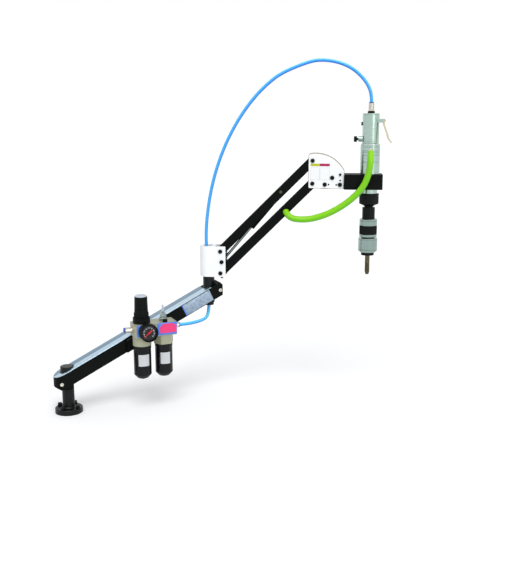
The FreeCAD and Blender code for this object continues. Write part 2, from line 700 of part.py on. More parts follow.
def bar(pivot, web_on_top):
    """A channel bar with round ends and a web on its top or bottom, with holes for its two sleeves."""
    half, depth = BAR_WIDTH / 2, BAR_DEPTH / 2
    body = box((0, BAR_LENGTH), (-half, half), (-depth, depth))
    for x in (0, BAR_LENGTH):
        body = body.fuse(rod(depth, V(x, -half, 0), V(x, half, 0)))
    side = 1 if web_on_top else -1
    heights = sorted((-side * (depth + OVERRUN), side * (depth - BAR_WALL)))
    inner = half - BAR_WALL
    body = body.removeSplitter().cut(box((-BAR_DEPTH, BAR_LENGTH + BAR_DEPTH), (-inner, inner), heights))
    for x in (0, BAR_LENGTH):
        body = body.cut(rod(BAR_SLEEVE_R, V(x, -half, 0), V(x, half, 0)))
    return lay_along_bar(body, pivot)


def lay_along_bar(solid, pivot):
    """Turn a piece drawn level from a bar's lower pivot to the bar's slope."""
    solid.rotate(V(), ALONG_Y, -BAR_ANGLE)
    solid.translate(pivot)
    return solid


def bar_sleeves(pivot):
    half = BAR_WIDTH / 2
    inner = PIVOT_BOLT_R + RUNNING_FIT
    sleeves = []
    for x in (0, BAR_LENGTH):
        ring = rod(BAR_SLEEVE_R, V(x, -half, 0), V(x, half, 0)).cut(rod(inner, V(x, -half, 0), V(x, half, 0)))
        sleeves.append(to_arm2(lay_along_bar(ring, pivot)))
    return sleeves


def bar_bushes():
    """The sleeves of both bars, and the bolt of the gas spring across the upper one."""
    save("lower_bar_bushes", *bar_sleeves(LOWER_PIVOT))
    bolt = cross_bolt(SPRING_HEAD, BAR_WIDTH / 2, SPRING_BOLT_R, SPRING_BOLT_HEAD_R, SPRING_BOLT_HEAD_H)
    save("upper_bar_fittings", *bar_sleeves(UPPER_PIVOT), to_arm2(bolt))


def lower_bar():
    body = bar(LOWER_PIVOT, False)
    save("lower_bar", to_arm2(body))


def upper_bar():
    body = bar(UPPER_PIVOT, True)
    half = BAR_WIDTH / 2
    body = body.cut(rod(SPRING_BOLT_R, SPRING_HEAD - NEAR * half, SPRING_HEAD + NEAR * half))
    save("upper_bar", to_arm2(body))


def hose_grommet():
    """The socket on the lower bar's near wall that the exhaust hose ends in."""
    end, before = V(*EXHAUST_ROUTE[-1]), V(*EXHAUST_ROUTE[-2])
    socket = rod(GROMMET_R, end, end + (end - before))
    inside = box((0, BLOCK_TO_S), (-BAR_WIDTH / 2, BAR_WIDTH), (0, BLOCK_TOP_Z))
    save("hose_grommet", to_arm2(socket.cut(inside)))


# Gas spring: the cylinder hangs from the upper bar, the rod reaches down to the housing


def spring_line():
    """Unit direction from the cylinder's eye to the rod's eye, and the distance between them."""
    line = SPRING_ROOT - SPRING_HEAD
    return line / line.Length, line.Length


def across(centre, radius, half_width):
    return rod(radius, centre + NEAR * half_width, centre - NEAR * half_width)


def gas_spring_cylinder():
    line = spring_line()[0]
    half = SPRING_EYE_T / 2
    neck_end = SPRING_HEAD + line * (SPRING_EYE_R + SPRING_BODY_R)
    end = SPRING_HEAD + line * SPRING_BODY_LENGTH
    body = rod(SPRING_BODY_R, neck_end, end).fuse(rod(half, SPRING_HEAD + line * SPRING_BOLT_R, neck_end))
    body = body.fuse(across(SPRING_HEAD, SPRING_EYE_R, half))
    body = body.cut(across(SPRING_HEAD, SPRING_BOLT_R + RUNNING_FIT, BAR_WIDTH))
    bore_from = end - line * (SPRING_BODY_LENGTH - SPRING_EYE_R - 2 * SPRING_BODY_R)
    body = body.cut(rod(SPRING_ROD_R + RUNNING_FIT, bore_from, end + line * OVERRUN))
    save("gas_spring_cylinder", to_arm2(body))


def gas_spring_rod():
    line, length = spring_line()
    half = SPRING_EYE_T / 2
    inner_end = SPRING_ROOT - line * (length - SPRING_BODY_LENGTH + SPRING_ROD_INSIDE)
    body = rod(SPRING_ROD_R, inner_end, SPRING_ROOT - line * SPRING_OPEN_BORE_R)
    body = body.fuse(across(SPRING_ROOT, SPRING_OPEN_EYE_R, half))
    body = body.cut(across(SPRING_ROOT, SPRING_OPEN_BORE_R, BAR_WIDTH))
    save("gas_spring_rod", to_arm2(body))


# Head plates and tool block


def plate_point(share):
    """A place on the side plates, from its share of the plate's length and height."""
    return PLATE_CORNER + V(share[0] * PLATE_LENGTH, 0, share[1] * PLATE_HEIGHT)


def head_plate(inner_y):
    """One side plate, whose inner face lies at inner_y and which is thicker outwards."""
    corners = [plate_point(share) for share in PLATE_CORNER_SHARES]
    start, middle, end = [plate_point(share) for share in PLATE_ARC_SHARES]
    straight = Part.makePolygon([end] + corners + [start]).Edges
    outline = Part.Wire(straight + [Part.Arc(start, middle, end).toShape()])
    plate = Part.Face(outline).extrude(ALONG_Y * PLATE_T)
    plate.translate(ALONG_Y * inner_y)
    low_left = plate_point(PLATE_CORNER_SHARES[1])
    rounded = [
        e for e in edges_along(plate, ALONG_Y)
        if hypot(e.CenterOfMass.x - low_left.x, e.CenterOfMass.z - low_left.z) < PLATE_T
    ]
    plate = plate.makeFillet(PLATE_CORNER_R, rounded)
    for place, radius in plate_holes():
        plate = plate.cut(across(place, radius, 2 * BLOCK_HALF_WIDTH))
    return plate


def plate_holes():
    """Each hole through the side plates: its place and radius."""
    holes = [(UPPER_HEAD_PIVOT, PIVOT_BOLT_R), (LOWER_HEAD_PIVOT, PIVOT_BOLT_R)]
    holes += [(plate_point(share), BLOCK_SCREW_R) for share in BLOCK_SCREW_SHARES]
    holes += [(plate_point(share), SMALL_SCREW_R) for share in SMALL_SCREW_SHARES]
    return holes + [(plate_point(share), INDEX_PIN_R) for share in INDEX_PIN_SHARES]


def head_plates():
    save("head_plate_front", to_arm2(head_plate(-PLATE_INNER_Y - PLATE_T)))
    save("head_plate_back", to_arm2(head_plate(PLATE_INNER_Y)))


def tool_block():
    tail_low = BLOCK_BOTTOM_Z + BLOCK_TAIL_BELOW
    span = (BLOCK_BOTTOM_Z, BLOCK_TOP_Z)
    body = box((BLOCK_FROM_S, BLOCK_TO_S), (-BLOCK_HALF_WIDTH, BLOCK_HALF_WIDTH), span)
    body = round_edges(body, BLOCK_CORNER_R, UP)
    between = (-PLATE_INNER_Y, PLATE_INNER_Y)
    tail_from = PLATE_CORNER.x + BLOCK_TAIL_FROM_SHARE * PLATE_LENGTH
    tail_to = PLATE_CORNER.x + BLOCK_TAIL_TO_SHARE * PLATE_LENGTH
    tail = box((tail_from, tail_to), between, (tail_low, tail_low + BLOCK_TAIL_HEIGHT))
    neck = box((tail_from, BLOCK_FROM_S + OVERRUN + BLOCK_CORNER_R), between, (tail_low, BLOCK_TOP_Z))
    body = body.fuse([tail, neck])
    body = body.cut(rod(NOSE_R, TOOL_AXIS, TOOL_AXIS + UP * MOTOR_TOP_Z)).removeSplitter()
    for place, radius in plate_holes()[2:]:
        body = body.cut(across(place, radius, PLATE_INNER_Y + OVERRUN))
    for seat in set_screw_seats():
        into_bore = BLOCK_HALF_WIDTH - NOSE_R / 2
        body = body.cut(rod(BLOCK_SET_SCREW_R, seat + NEAR * OVERRUN, seat - NEAR * into_bore))
    save("tool_block", to_arm2(body))


def set_screw_seats():
    """Places on the block's near face, from shares of the nose's radius and of the block's height."""
    return [
        V(TOOL_AXIS_S + across_share * NOSE_R, -BLOCK_HALF_WIDTH, BLOCK_BOTTOM_Z + up_share * BLOCK_HEIGHT)
        for across_share, up_share in BLOCK_SET_SCREW_SHARES
    ]


def block_set_screws():
    """Screws that hold the motor's nose in the block; each ends just short of the nose."""
    screws = []
    for seat in set_screw_seats():
        nearest = abs(seat.x - TOOL_AXIS_S) - BLOCK_SET_SCREW_R
        length = BLOCK_HALF_WIDTH - sqrt(NOSE_R**2 - nearest**2) - FACE_GAP
        body = rod(BLOCK_SET_SCREW_R, seat, seat - NEAR * length)
        depth = BLOCK_SET_SCREW_R
        socket = hexagon(BLOCK_SET_SCREW_R * HEX_SHARE, depth + OVERRUN, seat - NEAR * depth, NEAR)
        screws.append(body.cut(socket))
    return screws


def head_bolts():
    """Pivot bolts, block screws, index pins and set screws of the head."""
    outer = PLATE_INNER_Y + PLATE_T
    places = (UPPER_HEAD_PIVOT, LOWER_HEAD_PIVOT)
    bolts = [cross_bolt(p, outer, PIVOT_BOLT_R, PIVOT_HEAD_R, PIVOT_HEAD_H) for p in places]
    bolts += [
        cross_bolt(plate_point(share), outer, BLOCK_SCREW_R, BLOCK_SCREW_HEAD_R, BLOCK_SCREW_HEAD_H)
        for share in BLOCK_SCREW_SHARES
    ]
    bolts += [
        cross_bolt(plate_point(share), outer, SMALL_SCREW_R, SMALL_SCREW_HEAD_R, BLOCK_SCREW_HEAD_H)
        for share in SMALL_SCREW_SHARES
    ]
    bolts += [across(plate_point(share), INDEX_PIN_R, outer) for share in INDEX_PIN_SHARES]
    bolts += block_set_screws()
    save("head_bolts", *[to_arm2(bolt) for bolt in bolts])


# Motor


def at_tool(profile):
    """A turned piece on the motor's axis."""
    return turned(profile, TOOL_AXIS)


def motor_body():
    """The nose in the tool block and the vane motor's shell above it."""
    inner, top = MOTOR_BODY_R - MOTOR_WALL, MOTOR_HEAD_Z
    floor = BLOCK_TOP_Z + 2 * MOTOR_WALL
    shaft_bore, rotor_bore = SHAFT_R + RUNNING_FIT, ROTOR_SHAFT_R + RUNNING_FIT
    profile = [(shaft_bore, NOSE_BOTTOM_Z), (NOSE_R, NOSE_BOTTOM_Z)]
    profile += [(NOSE_R, BLOCK_TOP_Z), (MOTOR_BODY_R, BLOCK_TOP_Z)]
    for share in GROOVE_SHARES:
        z = BLOCK_TOP_Z + share * MOTOR_BODY_H
        profile += [(MOTOR_BODY_R, z), (MOTOR_BODY_R - GROOVE_DEPTH, z),
                    (MOTOR_BODY_R - GROOVE_DEPTH, z + GROOVE_W), (MOTOR_BODY_R, z + GROOVE_W)]
    profile += [(MOTOR_BODY_R, top - MOTOR_TOP_CHAMFER), (MOTOR_BODY_R - MOTOR_TOP_CHAMFER, top)]
    profile += [(inner, top), (inner, floor), (rotor_bore, floor)]
    profile += [(rotor_bore, BLOCK_TOP_Z), (shaft_bore, BLOCK_TOP_Z)]
    body = at_tool(profile)
    end, after = V(*EXHAUST_ROUTE[0]), V(*EXHAUST_ROUTE[1])
    port = rod(EXHAUST_CORE_R, end + (end - after), end)
    save("motor_body", to_arm2(body.cut(port)))


def exhaust_socket():
    """The socket on the motor's near side that the exhaust hose leaves."""
    end, after = V(*EXHAUST_ROUTE[0]), V(*EXHAUST_ROUTE[1])
    socket = rod(GROMMET_R, end + (end - after), end)
    inside = rod(MOTOR_BODY_R, TOOL_AXIS + UP * BLOCK_TOP_Z, TOOL_AXIS + UP * MOTOR_TOP_Z)
    return socket.cut(inside).cut(rod(EXHAUST_CORE_R, end + (end - after), end))


def motor_rotor():
    low = BLOCK_TOP_Z + 2 * MOTOR_WALL + ROTOR_GAP
    high = low + ROTOR_LENGTH
    profile = [(0, BLOCK_TOP_Z), (ROTOR_SHAFT_R, BLOCK_TOP_Z), (ROTOR_SHAFT_R, low)]
    profile += [(ROTOR_R, low), (ROTOR_R, high), (ROTOR_SHAFT_R, high)]
    profile += [(ROTOR_SHAFT_R, rotor_shaft_top()), (0, rotor_shaft_top())]
    save("motor_rotor", to_arm2(at_tool(profile)))


def rotor_shaft_top():
    return MOTOR_HEAD_Z + ROTOR_SHAFT_IN_HEAD


def motor_head():
    ring_top = MOTOR_HEAD_Z + RING_H
    bearing = ROTOR_SHAFT_R + RUNNING_FIT
    deep = rotor_shaft_top() + FACE_GAP
    profile = [
        (bearing, MOTOR_HEAD_Z), (RING_R, MOTOR_HEAD_Z), (RING_R, ring_top), (MOTOR_HEAD_R, ring_top),
        (MOTOR_HEAD_R, MOTOR_TOP_Z - MOTOR_TOP_CHAMFER), (MOTOR_HEAD_R - MOTOR_TOP_CHAMFER, MOTOR_TOP_Z),
        (0, MOTOR_TOP_Z), (0, deep), (bearing, deep),
    ]
    body = at_tool(profile)
    seat = TOOL_AXIS + UP * MOTOR_TOP_Z
    body = body.cut(rod(HOSE_CORE_R, seat - UP * FITTING_BASE_H, seat + UP * OVERRUN))
    valve_end = valve_place(0)
    body = body.cut(rod(BUTTON_STEM_R + RUNNING_FIT, valve_end, valve_place(MOTOR_HEAD_R + OVERRUN)))
    save("motor_head", to_arm2(body))


def valve_place(out):
    """A place on the reverse valve's axis, measured out from the middle of its bore in the motor's head."""
    return V(TOOL_AXIS_S - MOTOR_HEAD_R / 2 - out, 0, VALVE_Z)


def reverse_valve():
    """The valve's sleeve and the blanking plug above it."""
    flat = TOOL_AXIS_S - MOTOR_HEAD_R
    head = rod(MOTOR_HEAD_R, TOOL_AXIS + UP * MOTOR_HEAD_Z, TOOL_AXIS + UP * MOTOR_TOP_Z)
    inner = V(flat + VALVE_R, 0, VALVE_Z)
    sleeve = rod(VALVE_R, V(flat - VALVE_REACH, 0, VALVE_Z), inner).cut(head)
    sleeve = sleeve.cut(rod(BUTTON_STEM_R + RUNNING_FIT, V(flat - BLOCK_HALF_WIDTH, 0, VALVE_Z), inner))
    plug_end = V(flat - SIDE_PLUG_REACH, 0, SIDE_PLUG_Z)
    plug = rod(SIDE_PLUG_R, plug_end, V(flat + SIDE_PLUG_R, 0, SIDE_PLUG_Z)).cut(head)
    save("reverse_valve", to_arm2(sleeve), to_arm2(plug))


def reverse_button():
    flat = TOOL_AXIS_S - MOTOR_HEAD_R
    back = flat - VALVE_REACH - BUTTON_TRAVEL - FACE_GAP
    stem_end = TOOL_AXIS_S - MOTOR_HEAD_R / 2 - BUTTON_TRAVEL - FACE_GAP
    profile = [(0, 0), (BUTTON_STEM_R, 0), (BUTTON_STEM_R, stem_end - back), (BUTTON_R, stem_end - back),
               (BUTTON_R, stem_end - back + BUTTON_LENGTH - BUTTON_RIM),
               (BUTTON_R - BUTTON_RIM, stem_end - back + BUTTON_LENGTH),
               (0, stem_end - back + BUTTON_LENGTH)]
    save("reverse_button", to_arm2(turned(profile, V(stem_end, 0, VALVE_Z), V(-1, 0, 0))))


def motor_fittings():
    """The black base, the nickel push-in fitting on top that the hose ends in, and the exhaust socket."""
    base_top = MOTOR_TOP_Z + FITTING_BASE_H
    top = base_top + FITTING_H
    base = at_tool([(HOSE_CORE_R, MOTOR_TOP_Z), (FITTING_BASE_R, MOTOR_TOP_Z), (FITTING_BASE_R, base_top),
                    (HOSE_CORE_R, base_top)])
    collar = top + FITTING_RING_H
    sleeve = at_tool([(HOSE_CORE_R, base_top), (FITTING_R, base_top), (FITTING_R, top), (FITTING_RING_R, top),
                      (FITTING_RING_R, collar), (HOSE_R, collar), (HOSE_R, top), (HOSE_CORE_R, top)])
    save("motor_fittings", to_arm2(base), to_arm2(sleeve), to_arm2(exhaust_socket()))


def lever_plane(solid):
    """Turn a piece drawn in the plane y = 0, out from the motor's axis, to the lever's side of the motor."""
    solid.rotate(V(), UP, LEVER_TURN)
    solid.translate(TOOL_AXIS)
    return to_arm2(solid)


def lever_pin():
    return V(MOTOR_HEAD_R + LEVER_PIN_OUT, 0, LEVER_BRACKET_Z)


def lever_bracket():
    """Two ears on the motor's head, joined by a foot, and the pin between them."""
    pin = lever_pin()
    half = LEVER_BRACKET_W / 2 + LEVER_EAR_T
    ears = box((0, pin.x), (-half, half), (pin.z - LEVER_EAR_R, pin.z + LEVER_EAR_R))
    ears = ears.fuse(across(pin, LEVER_EAR_R, half))
    gap = LEVER_BRACKET_W / 2
    room = (pin.x - LEVER_EAR_R - FACE_GAP, pin.x + 2 * LEVER_EAR_R)
    ears = ears.cut(box(room, (-gap, gap), (0, MOTOR_TOP_Z)))
    ears = ears.cut(rod(MOTOR_HEAD_R, UP * MOTOR_HEAD_Z, UP * MOTOR_TOP_Z))
    ears = ears.cut(across(pin, LEVER_PIN_R, half))
    save("lever_bracket", lever_plane(ears), lever_plane(across(pin, LEVER_PIN_R, half)))


def throttle_lever():
    """A bent strip that hangs from its pin, its lower end turned out."""
    pin = lever_pin()
    half = LEVER_W / 2
    outline = [pin + V(x * LEVER_REACH, 0, (z - 1) * LEVER_DROP) for x, z in LEVER_POINT_SHARES]
    inner = outline[1:]
    outer = [p + V(LEVER_T, 0, 0) for p in reversed(inner)]
    top_outer = outline[0] + V(LEVER_T, 0, 0)
    strip = side_profile([(p.x, p.z) for p in [outline[0]] + inner + outer + [top_outer]], half)
    strip = strip.fuse(across(pin, LEVER_EYE_R, half))
    save("throttle_lever", lever_plane(strip.cut(across(pin, LEVER_PIN_R + RUNNING_FIT, half))))


# Spindle, chuck and tap


def nose_nut():
    low = NOSE_BOTTOM_Z - NUT_H
    tip = low - NUT_CONE_H
    inner = SHAFT_R + FACE_GAP
    save("nose_nut", to_arm2(at_tool([
        (inner, tip), (NUT_CONE_R, tip), (NUT_R, low), (NUT_R, NOSE_BOTTOM_Z), (inner, NOSE_BOTTOM_Z),
    ])))


def spindle():
    top = NOSE_BOTTOM_Z - NUT_H - NUT_CONE_H - FACE_GAP
    shaft_top = BLOCK_TOP_Z - SHAFT_END_BELOW_ROTOR
    low = SPINDLE_BOTTOM_Z - SPINDLE_STUB
    save("spindle", to_arm2(at_tool([
        (0, low), (SHAFT_R, low), (SHAFT_R, SPINDLE_BOTTOM_Z), (SPINDLE_R, SPINDLE_BOTTOM_Z),
        (SPINDLE_R, top), (SHAFT_R, top), (SHAFT_R, shaft_top), (0, shaft_top),
    ])))


def chuck_body():
    ring_low = SPINDLE_BOTTOM_Z - CHUCK_RING_H
    band_low = ring_low - CHUCK_BAND_H
    foot = band_low - CHUCK_LOWER_RING_H
    core_low = COLLAR_TOP_Z - COLLAR_H
    groove = CHUCK_RING_R - CHUCK_BAND_T
    stub_low = SPINDLE_BOTTOM_Z - SPINDLE_STUB
    hold = COLLET_BOTTOM_Z + TAP_HOLD
    body = at_tool([
        (SHAFT_R, SPINDLE_BOTTOM_Z), (CHUCK_RING_R, SPINDLE_BOTTOM_Z), (CHUCK_RING_R, ring_low),
        (groove, ring_low), (groove, band_low), (CHUCK_RING_R, band_low), (CHUCK_RING_R, foot),
        (CHUCK_CORE_R, foot), (CHUCK_CORE_R, core_low), (COLLET_R, core_low),
        (COLLET_R, COLLET_BOTTOM_Z), (TAP_SHANK_R, COLLET_BOTTOM_Z),
        (TAP_SHANK_R, hold), (0, hold), (0, stub_low), (SHAFT_R, stub_low),
    ])
    save("chuck_body", to_arm2(body))


def chuck_band():
    high = SPINDLE_BOTTOM_Z - CHUCK_RING_H
    low = high - CHUCK_BAND_H
    inner = CHUCK_RING_R - CHUCK_BAND_T
    profile = [(inner, low), (CHUCK_RING_R, low), (CHUCK_RING_R, high), (inner, high)]
    save("chuck_band", to_arm2(at_tool(profile)))


def chuck_collar():
    low = COLLAR_TOP_Z - COLLAR_H
    inner = CHUCK_CORE_R + RUNNING_FIT
    save("chuck_collar", to_arm2(at_tool([
        (inner, low), (COLLAR_R - COLLAR_RIM, low), (COLLAR_R, low + COLLAR_RIM),
        (COLLAR_R, COLLAR_TOP_Z - COLLAR_RIM), (COLLAR_R - COLLAR_RIM, COLLAR_TOP_Z), (inner, COLLAR_TOP_Z),
    ])))


def tap():
    thread_top = TAP_BOTTOM_Z + TAP_THREAD_H
    top = COLLET_BOTTOM_Z + TAP_HOLD
    body = at_tool([(0, TAP_BOTTOM_Z), (TAP_R - TAP_LEAD, TAP_BOTTOM_Z), (TAP_R, TAP_BOTTOM_Z + TAP_LEAD_H),
                    (TAP_R, thread_top), (TAP_SHANK_R, thread_top + TAP_LEAD), (TAP_SHANK_R, top), (0, top)])
    for k in range(FLUTE_COUNT):
        side = V(TAP_R, 0, 0)
        side = FreeCAD.Rotation(UP, k * 360 / FLUTE_COUNT).multVec(side) + TOOL_AXIS
        body = body.cut(rod(FLUTE_R, side + UP * (TAP_BOTTOM_Z - OVERRUN), side + UP * thread_top))
    save("tap", to_arm2(body))


# Air preparation unit


def unit_block(x):
    """One body of the unit, drawn between two places on the X axis."""
    block = box(x, (UNIT_FRONT_Y, UNIT_BACK_Y), (UNIT_BOTTOM_Z, UNIT_TOP_Z))
    return round_edges(block, UNIT_CORNER_R, UP)


def on_unit(x, z):
    return V(x, UNIT_Y, z)


def unit_bracket():
    """The slanted block between the beam's side and the back of the unit."""
    outline = []
    for x, side in ((BRACKET_FROM_X, -1), (BRACKET_TO_X, -1), (BRACKET_TO_X, 1), (BRACKET_FROM_X, 1)):
        outline.append((x, beam_z(x, 0) + side * BRACKET_HEIGHT / 2 / cos(BEAM_TILT)))
    depth = -HALF_WIDTH - UNIT_BACK_Y
    save("unit_bracket", side_profile(outline, depth / 2, UNIT_BACK_Y + depth / 2))


def regulator_body():
    left = REGULATOR_X - REGULATOR_LEFT
    body = unit_block((left, UNIT_SPLIT_X))
    body = body.fuse(rod(NECK_R, on_unit(REGULATOR_X, NECK_BOTTOM_Z), on_unit(REGULATOR_X, UNIT_BOTTOM_Z)))
    body = body.cut(rod(PORT_R, on_unit(left, PORT_Z), on_unit(UNIT_SPLIT_X, PORT_Z)))
    stem = V(GAUGE_X, UNIT_FRONT_Y, GAUGE_Z)
    floor, ceiling = on_unit(REGULATOR_X, NECK_BOTTOM_Z), on_unit(REGULATOR_X, UNIT_BOTTOM_Z)
    body = body.cut(rod(ELEMENT_STEM_R, floor, ceiling))
    body = body.cut(rod(GAUGE_STEM_R, stem, stem - NEAR * GAUGE_STEM_LENGTH))
    save("regulator_body", body.removeSplitter())


def regulator_bonnet():
    """The black collar under the knob and the stem that the knob turns on."""
    top = BONNET_H
    stem_top = BONNET_H + BONNET_STEM_H
    profile = [(0, 0), (BONNET_R, 0), (BONNET_R, top)]
    profile += [(BONNET_STEM_R, top), (BONNET_STEM_R, stem_top), (0, stem_top)]
    save("regulator_bonnet", turned(profile, on_unit(REGULATOR_X, UNIT_TOP_Z)))


def regulator_knob():
    foot = BONNET_H + FACE_GAP
    inner = BONNET_STEM_R + RUNNING_FIT
    floor = BONNET_H + BONNET_STEM_H + FACE_GAP
    side_top = foot + KNOB_H
    shell = [(inner, foot), (KNOB_FOOT_R, foot), (KNOB_TOP_R, side_top)]
    shell += [(0, side_top), (0, floor), (inner, floor)]
    place = on_unit(REGULATOR_X, UNIT_TOP_Z)
    cap = turned([(0, side_top), (KNOB_TOP_R, side_top), (KNOB_TOP_R * KNOB_CAP_SHARE, side_top + KNOB_CAP_H),
                  (0, side_top + KNOB_CAP_H)], place)
    save("regulator_knob", turned(shell, place), cap)


def bowl(x, slot_angle, drain):
    """A bowl with a sight slot, its foot narrower than its wall; the filter's has a hole for the drain."""
    inner = BOWL_R - BOWL_WALL
    shoulder = BOWL_BOTTOM_Z + BOWL_TIP_H
    floor = shoulder + BOWL_FLOOR_T
    axis_r = DRAIN_R + RUNNING_FIT if drain else 0
    profile = [(axis_r, BOWL_BOTTOM_Z), (BOWL_TIP_R, BOWL_BOTTOM_Z), (BOWL_R, shoulder)]
    profile += [(BOWL_R, NECK_BOTTOM_Z), (inner, NECK_BOTTOM_Z), (inner, floor), (axis_r, floor)]
    body = turned(profile, on_unit(x, 0))
    height = NECK_BOTTOM_Z - BOWL_BOTTOM_Z
    out = V(cos(radians(slot_angle)), sin(radians(slot_angle)), 0)
    half = BOWL_SLOT_W / 2
    slot = box((inner - BOWL_WALL, BOWL_R + BOWL_WALL), (-half, half),
               (floor + BOWL_SLOT_FROM_SHARE * height, floor + BOWL_SLOT_TO_SHARE * height))
    slot.Placement = FreeCAD.Placement(on_unit(x, 0), FreeCAD.Rotation(ALONG_X, out))
    return body.cut(slot)


def bowls():
    save("filter_bowl", bowl(REGULATOR_X, FILTER_SLOT_ANGLE, True))
    save("lubricator_bowl", bowl(LUBRICATOR_X, LUBRICATOR_SLOT_ANGLE, False))


def unit_inserts():
    """The filter element in its bowl and the siphon tube in the lubricator's."""
    top = NECK_BOTTOM_Z
    foot = top - ELEMENT_GAP - ELEMENT_LENGTH
    profile = [(0, foot), (ELEMENT_R, foot), (ELEMENT_R, top - ELEMENT_GAP)]
    profile += [(ELEMENT_STEM_R, top - ELEMENT_GAP), (ELEMENT_STEM_R, UNIT_BOTTOM_Z), (0, UNIT_BOTTOM_Z)]
    high = on_unit(LUBRICATOR_X, UNIT_BOTTOM_Z)
    low = high - UP * SIPHON_LENGTH
    siphon = rod(SIPHON_R, low, high).cut(rod(SIPHON_BORE_R, low, high))
    save("unit_inserts", turned(profile, on_unit(REGULATOR_X, 0)), siphon)


def drain_button():
    """The drain pushed up from below; its shoulder rests on the bowl's floor."""
    floor = BOWL_BOTTOM_Z + BOWL_TIP_H + BOWL_FLOOR_T
    top = floor + FACE_GAP + DRAIN_SHOULDER_T
    low = BOWL_BOTTOM_Z - DRAIN_OUT
    profile = [(0, low), (DRAIN_R, low), (DRAIN_R, floor + FACE_GAP), (DRAIN_SHOULDER_R, floor + FACE_GAP),
               (DRAIN_SHOULDER_R, top), (0, top)]
    save("drain_button", turned(profile, on_unit(REGULATOR_X, 0)))


def lubricator_body():
    right = LUBRICATOR_X + LUBRICATOR_RIGHT
    body = unit_block((UNIT_SPLIT_X, right))
    neck = on_unit(LUBRICATOR_X, NECK_BOTTOM_Z)
    body = body.fuse(hexagon(NECK_HEX_R, UNIT_BOTTOM_Z - NECK_BOTTOM_Z, neck))
    body = body.cut(rod(PORT_R, on_unit(UNIT_SPLIT_X, PORT_Z), on_unit(right, PORT_Z)))
    body = body.cut(rod(SIPHON_R, neck, on_unit(LUBRICATOR_X, UNIT_BOTTOM_Z)))
    save("lubricator_body", body.removeSplitter())


def sight_dome():
    """A threaded foot and the clear dome on it, hollow over the drip screw's stem."""
    foot_r, foot_h = DOME_BASE_R, DOME_BASE_H
    hole = DRIP_STEM_R + RUNNING_FIT
    inner, top = DOME_R - DOME_WALL, DOME_BASE_H + DOME_H
    foot = turned([(0, 0), (foot_r, 0), (foot_r, foot_h), (0, foot_h)], on_unit(LUBRICATOR_X, UNIT_TOP_Z))
    dome = turned([(inner, foot_h), (DOME_R, foot_h), (DOME_R, top - DOME_WALL), (DOME_R - DOME_WALL, top),
                   (hole, top), (hole, top - DOME_WALL), (inner, top - DOME_WALL)],
                  on_unit(LUBRICATOR_X, UNIT_TOP_Z))
    save("sight_dome", foot, dome)


def drip_screw():
    top = DOME_BASE_H + DOME_H
    foot = DOME_BASE_H + DOME_H / 2
    head = top + FACE_GAP
    profile = [(0, foot), (DRIP_STEM_R, foot), (DRIP_STEM_R, head), (DRIP_SCREW_R, head),
               (DRIP_SCREW_R, head + DRIP_SCREW_H), (0, head + DRIP_SCREW_H)]
    save("drip_screw", turned(profile, on_unit(LUBRICATOR_X, UNIT_TOP_Z)))


def oil_plug():
    seat = V(LUBRICATOR_X, UNIT_FRONT_Y + OIL_PLUG_FROM_FRONT, UNIT_TOP_Z)
    save("oil_plug", turned([(0, 0), (OIL_PLUG_R, 0), (OIL_PLUG_R, OIL_PLUG_H), (0, OIL_PLUG_H)], seat))


# Gauge: its parts are turned about the axis that points at whoever reads it


def at_gauge(profile):
    return turned(profile, V(GAUGE_X, UNIT_FRONT_Y, GAUGE_Z), NEAR)


def gauge():
    back = GAUGE_STEM_LENGTH
    front = back + GAUGE_DEPTH
    inner = GAUGE_R - GAUGE_WALL
    dial = front - GAUGE_DIAL_DEEP
    lens = front - GAUGE_LENS_T
    save("gauge_case", at_gauge([
        (0, -GAUGE_STEM_LENGTH), (GAUGE_STEM_R, -GAUGE_STEM_LENGTH), (GAUGE_STEM_R, back), (GAUGE_R, back),
        (GAUGE_R, front), (inner, front), (inner, dial - GAUGE_DIAL_T), (0, dial - GAUGE_DIAL_T),
    ]))
    save("gauge_dial", at_gauge([
        (0, dial - GAUGE_DIAL_T), (inner, dial - GAUGE_DIAL_T), (inner, dial), (GAUGE_SPINDLE_R, dial),
        (GAUGE_SPINDLE_R, dial + GAUGE_SPINDLE_H), (0, dial + GAUGE_SPINDLE_H),
    ]))
    save("gauge_lens", at_gauge([(0, lens), (inner, lens), (inner, front), (0, front)]))


def gauge_needle():
    """A pointer with a short tail, on the dial's spindle."""
    reach = (GAUGE_R - GAUGE_WALL) * NEEDLE_LENGTH_SHARE
    half = reach * NEEDLE_W_SHARE / 2
    y = UNIT_FRONT_Y - GAUGE_STEM_LENGTH - GAUGE_DEPTH + GAUGE_DIAL_DEEP - FACE_GAP
    tail = -reach * NEEDLE_TAIL_SHARE
    corners = [(reach, 0), (0, half), (tail, half), (tail, -half), (0, -half)]
    points = [V(x, 0, z) for x, z in corners]
    flat = Part.Face(Part.makePolygon(points + points[:1])).extrude(NEAR * NEEDLE_T)
    hub = rod(2 * GAUGE_SPINDLE_R, V(), NEAR * NEEDLE_T)
    hole = rod(GAUGE_SPINDLE_R + RUNNING_FIT, V(), NEAR * NEEDLE_T)
    needle = flat.fuse(hub).cut(hole)
    needle.Placement = FreeCAD.Placement(V(GAUGE_X, y, GAUGE_Z), FreeCAD.Rotation(NEAR, NEEDLE_ANGLE))
    save("gauge_needle", needle)


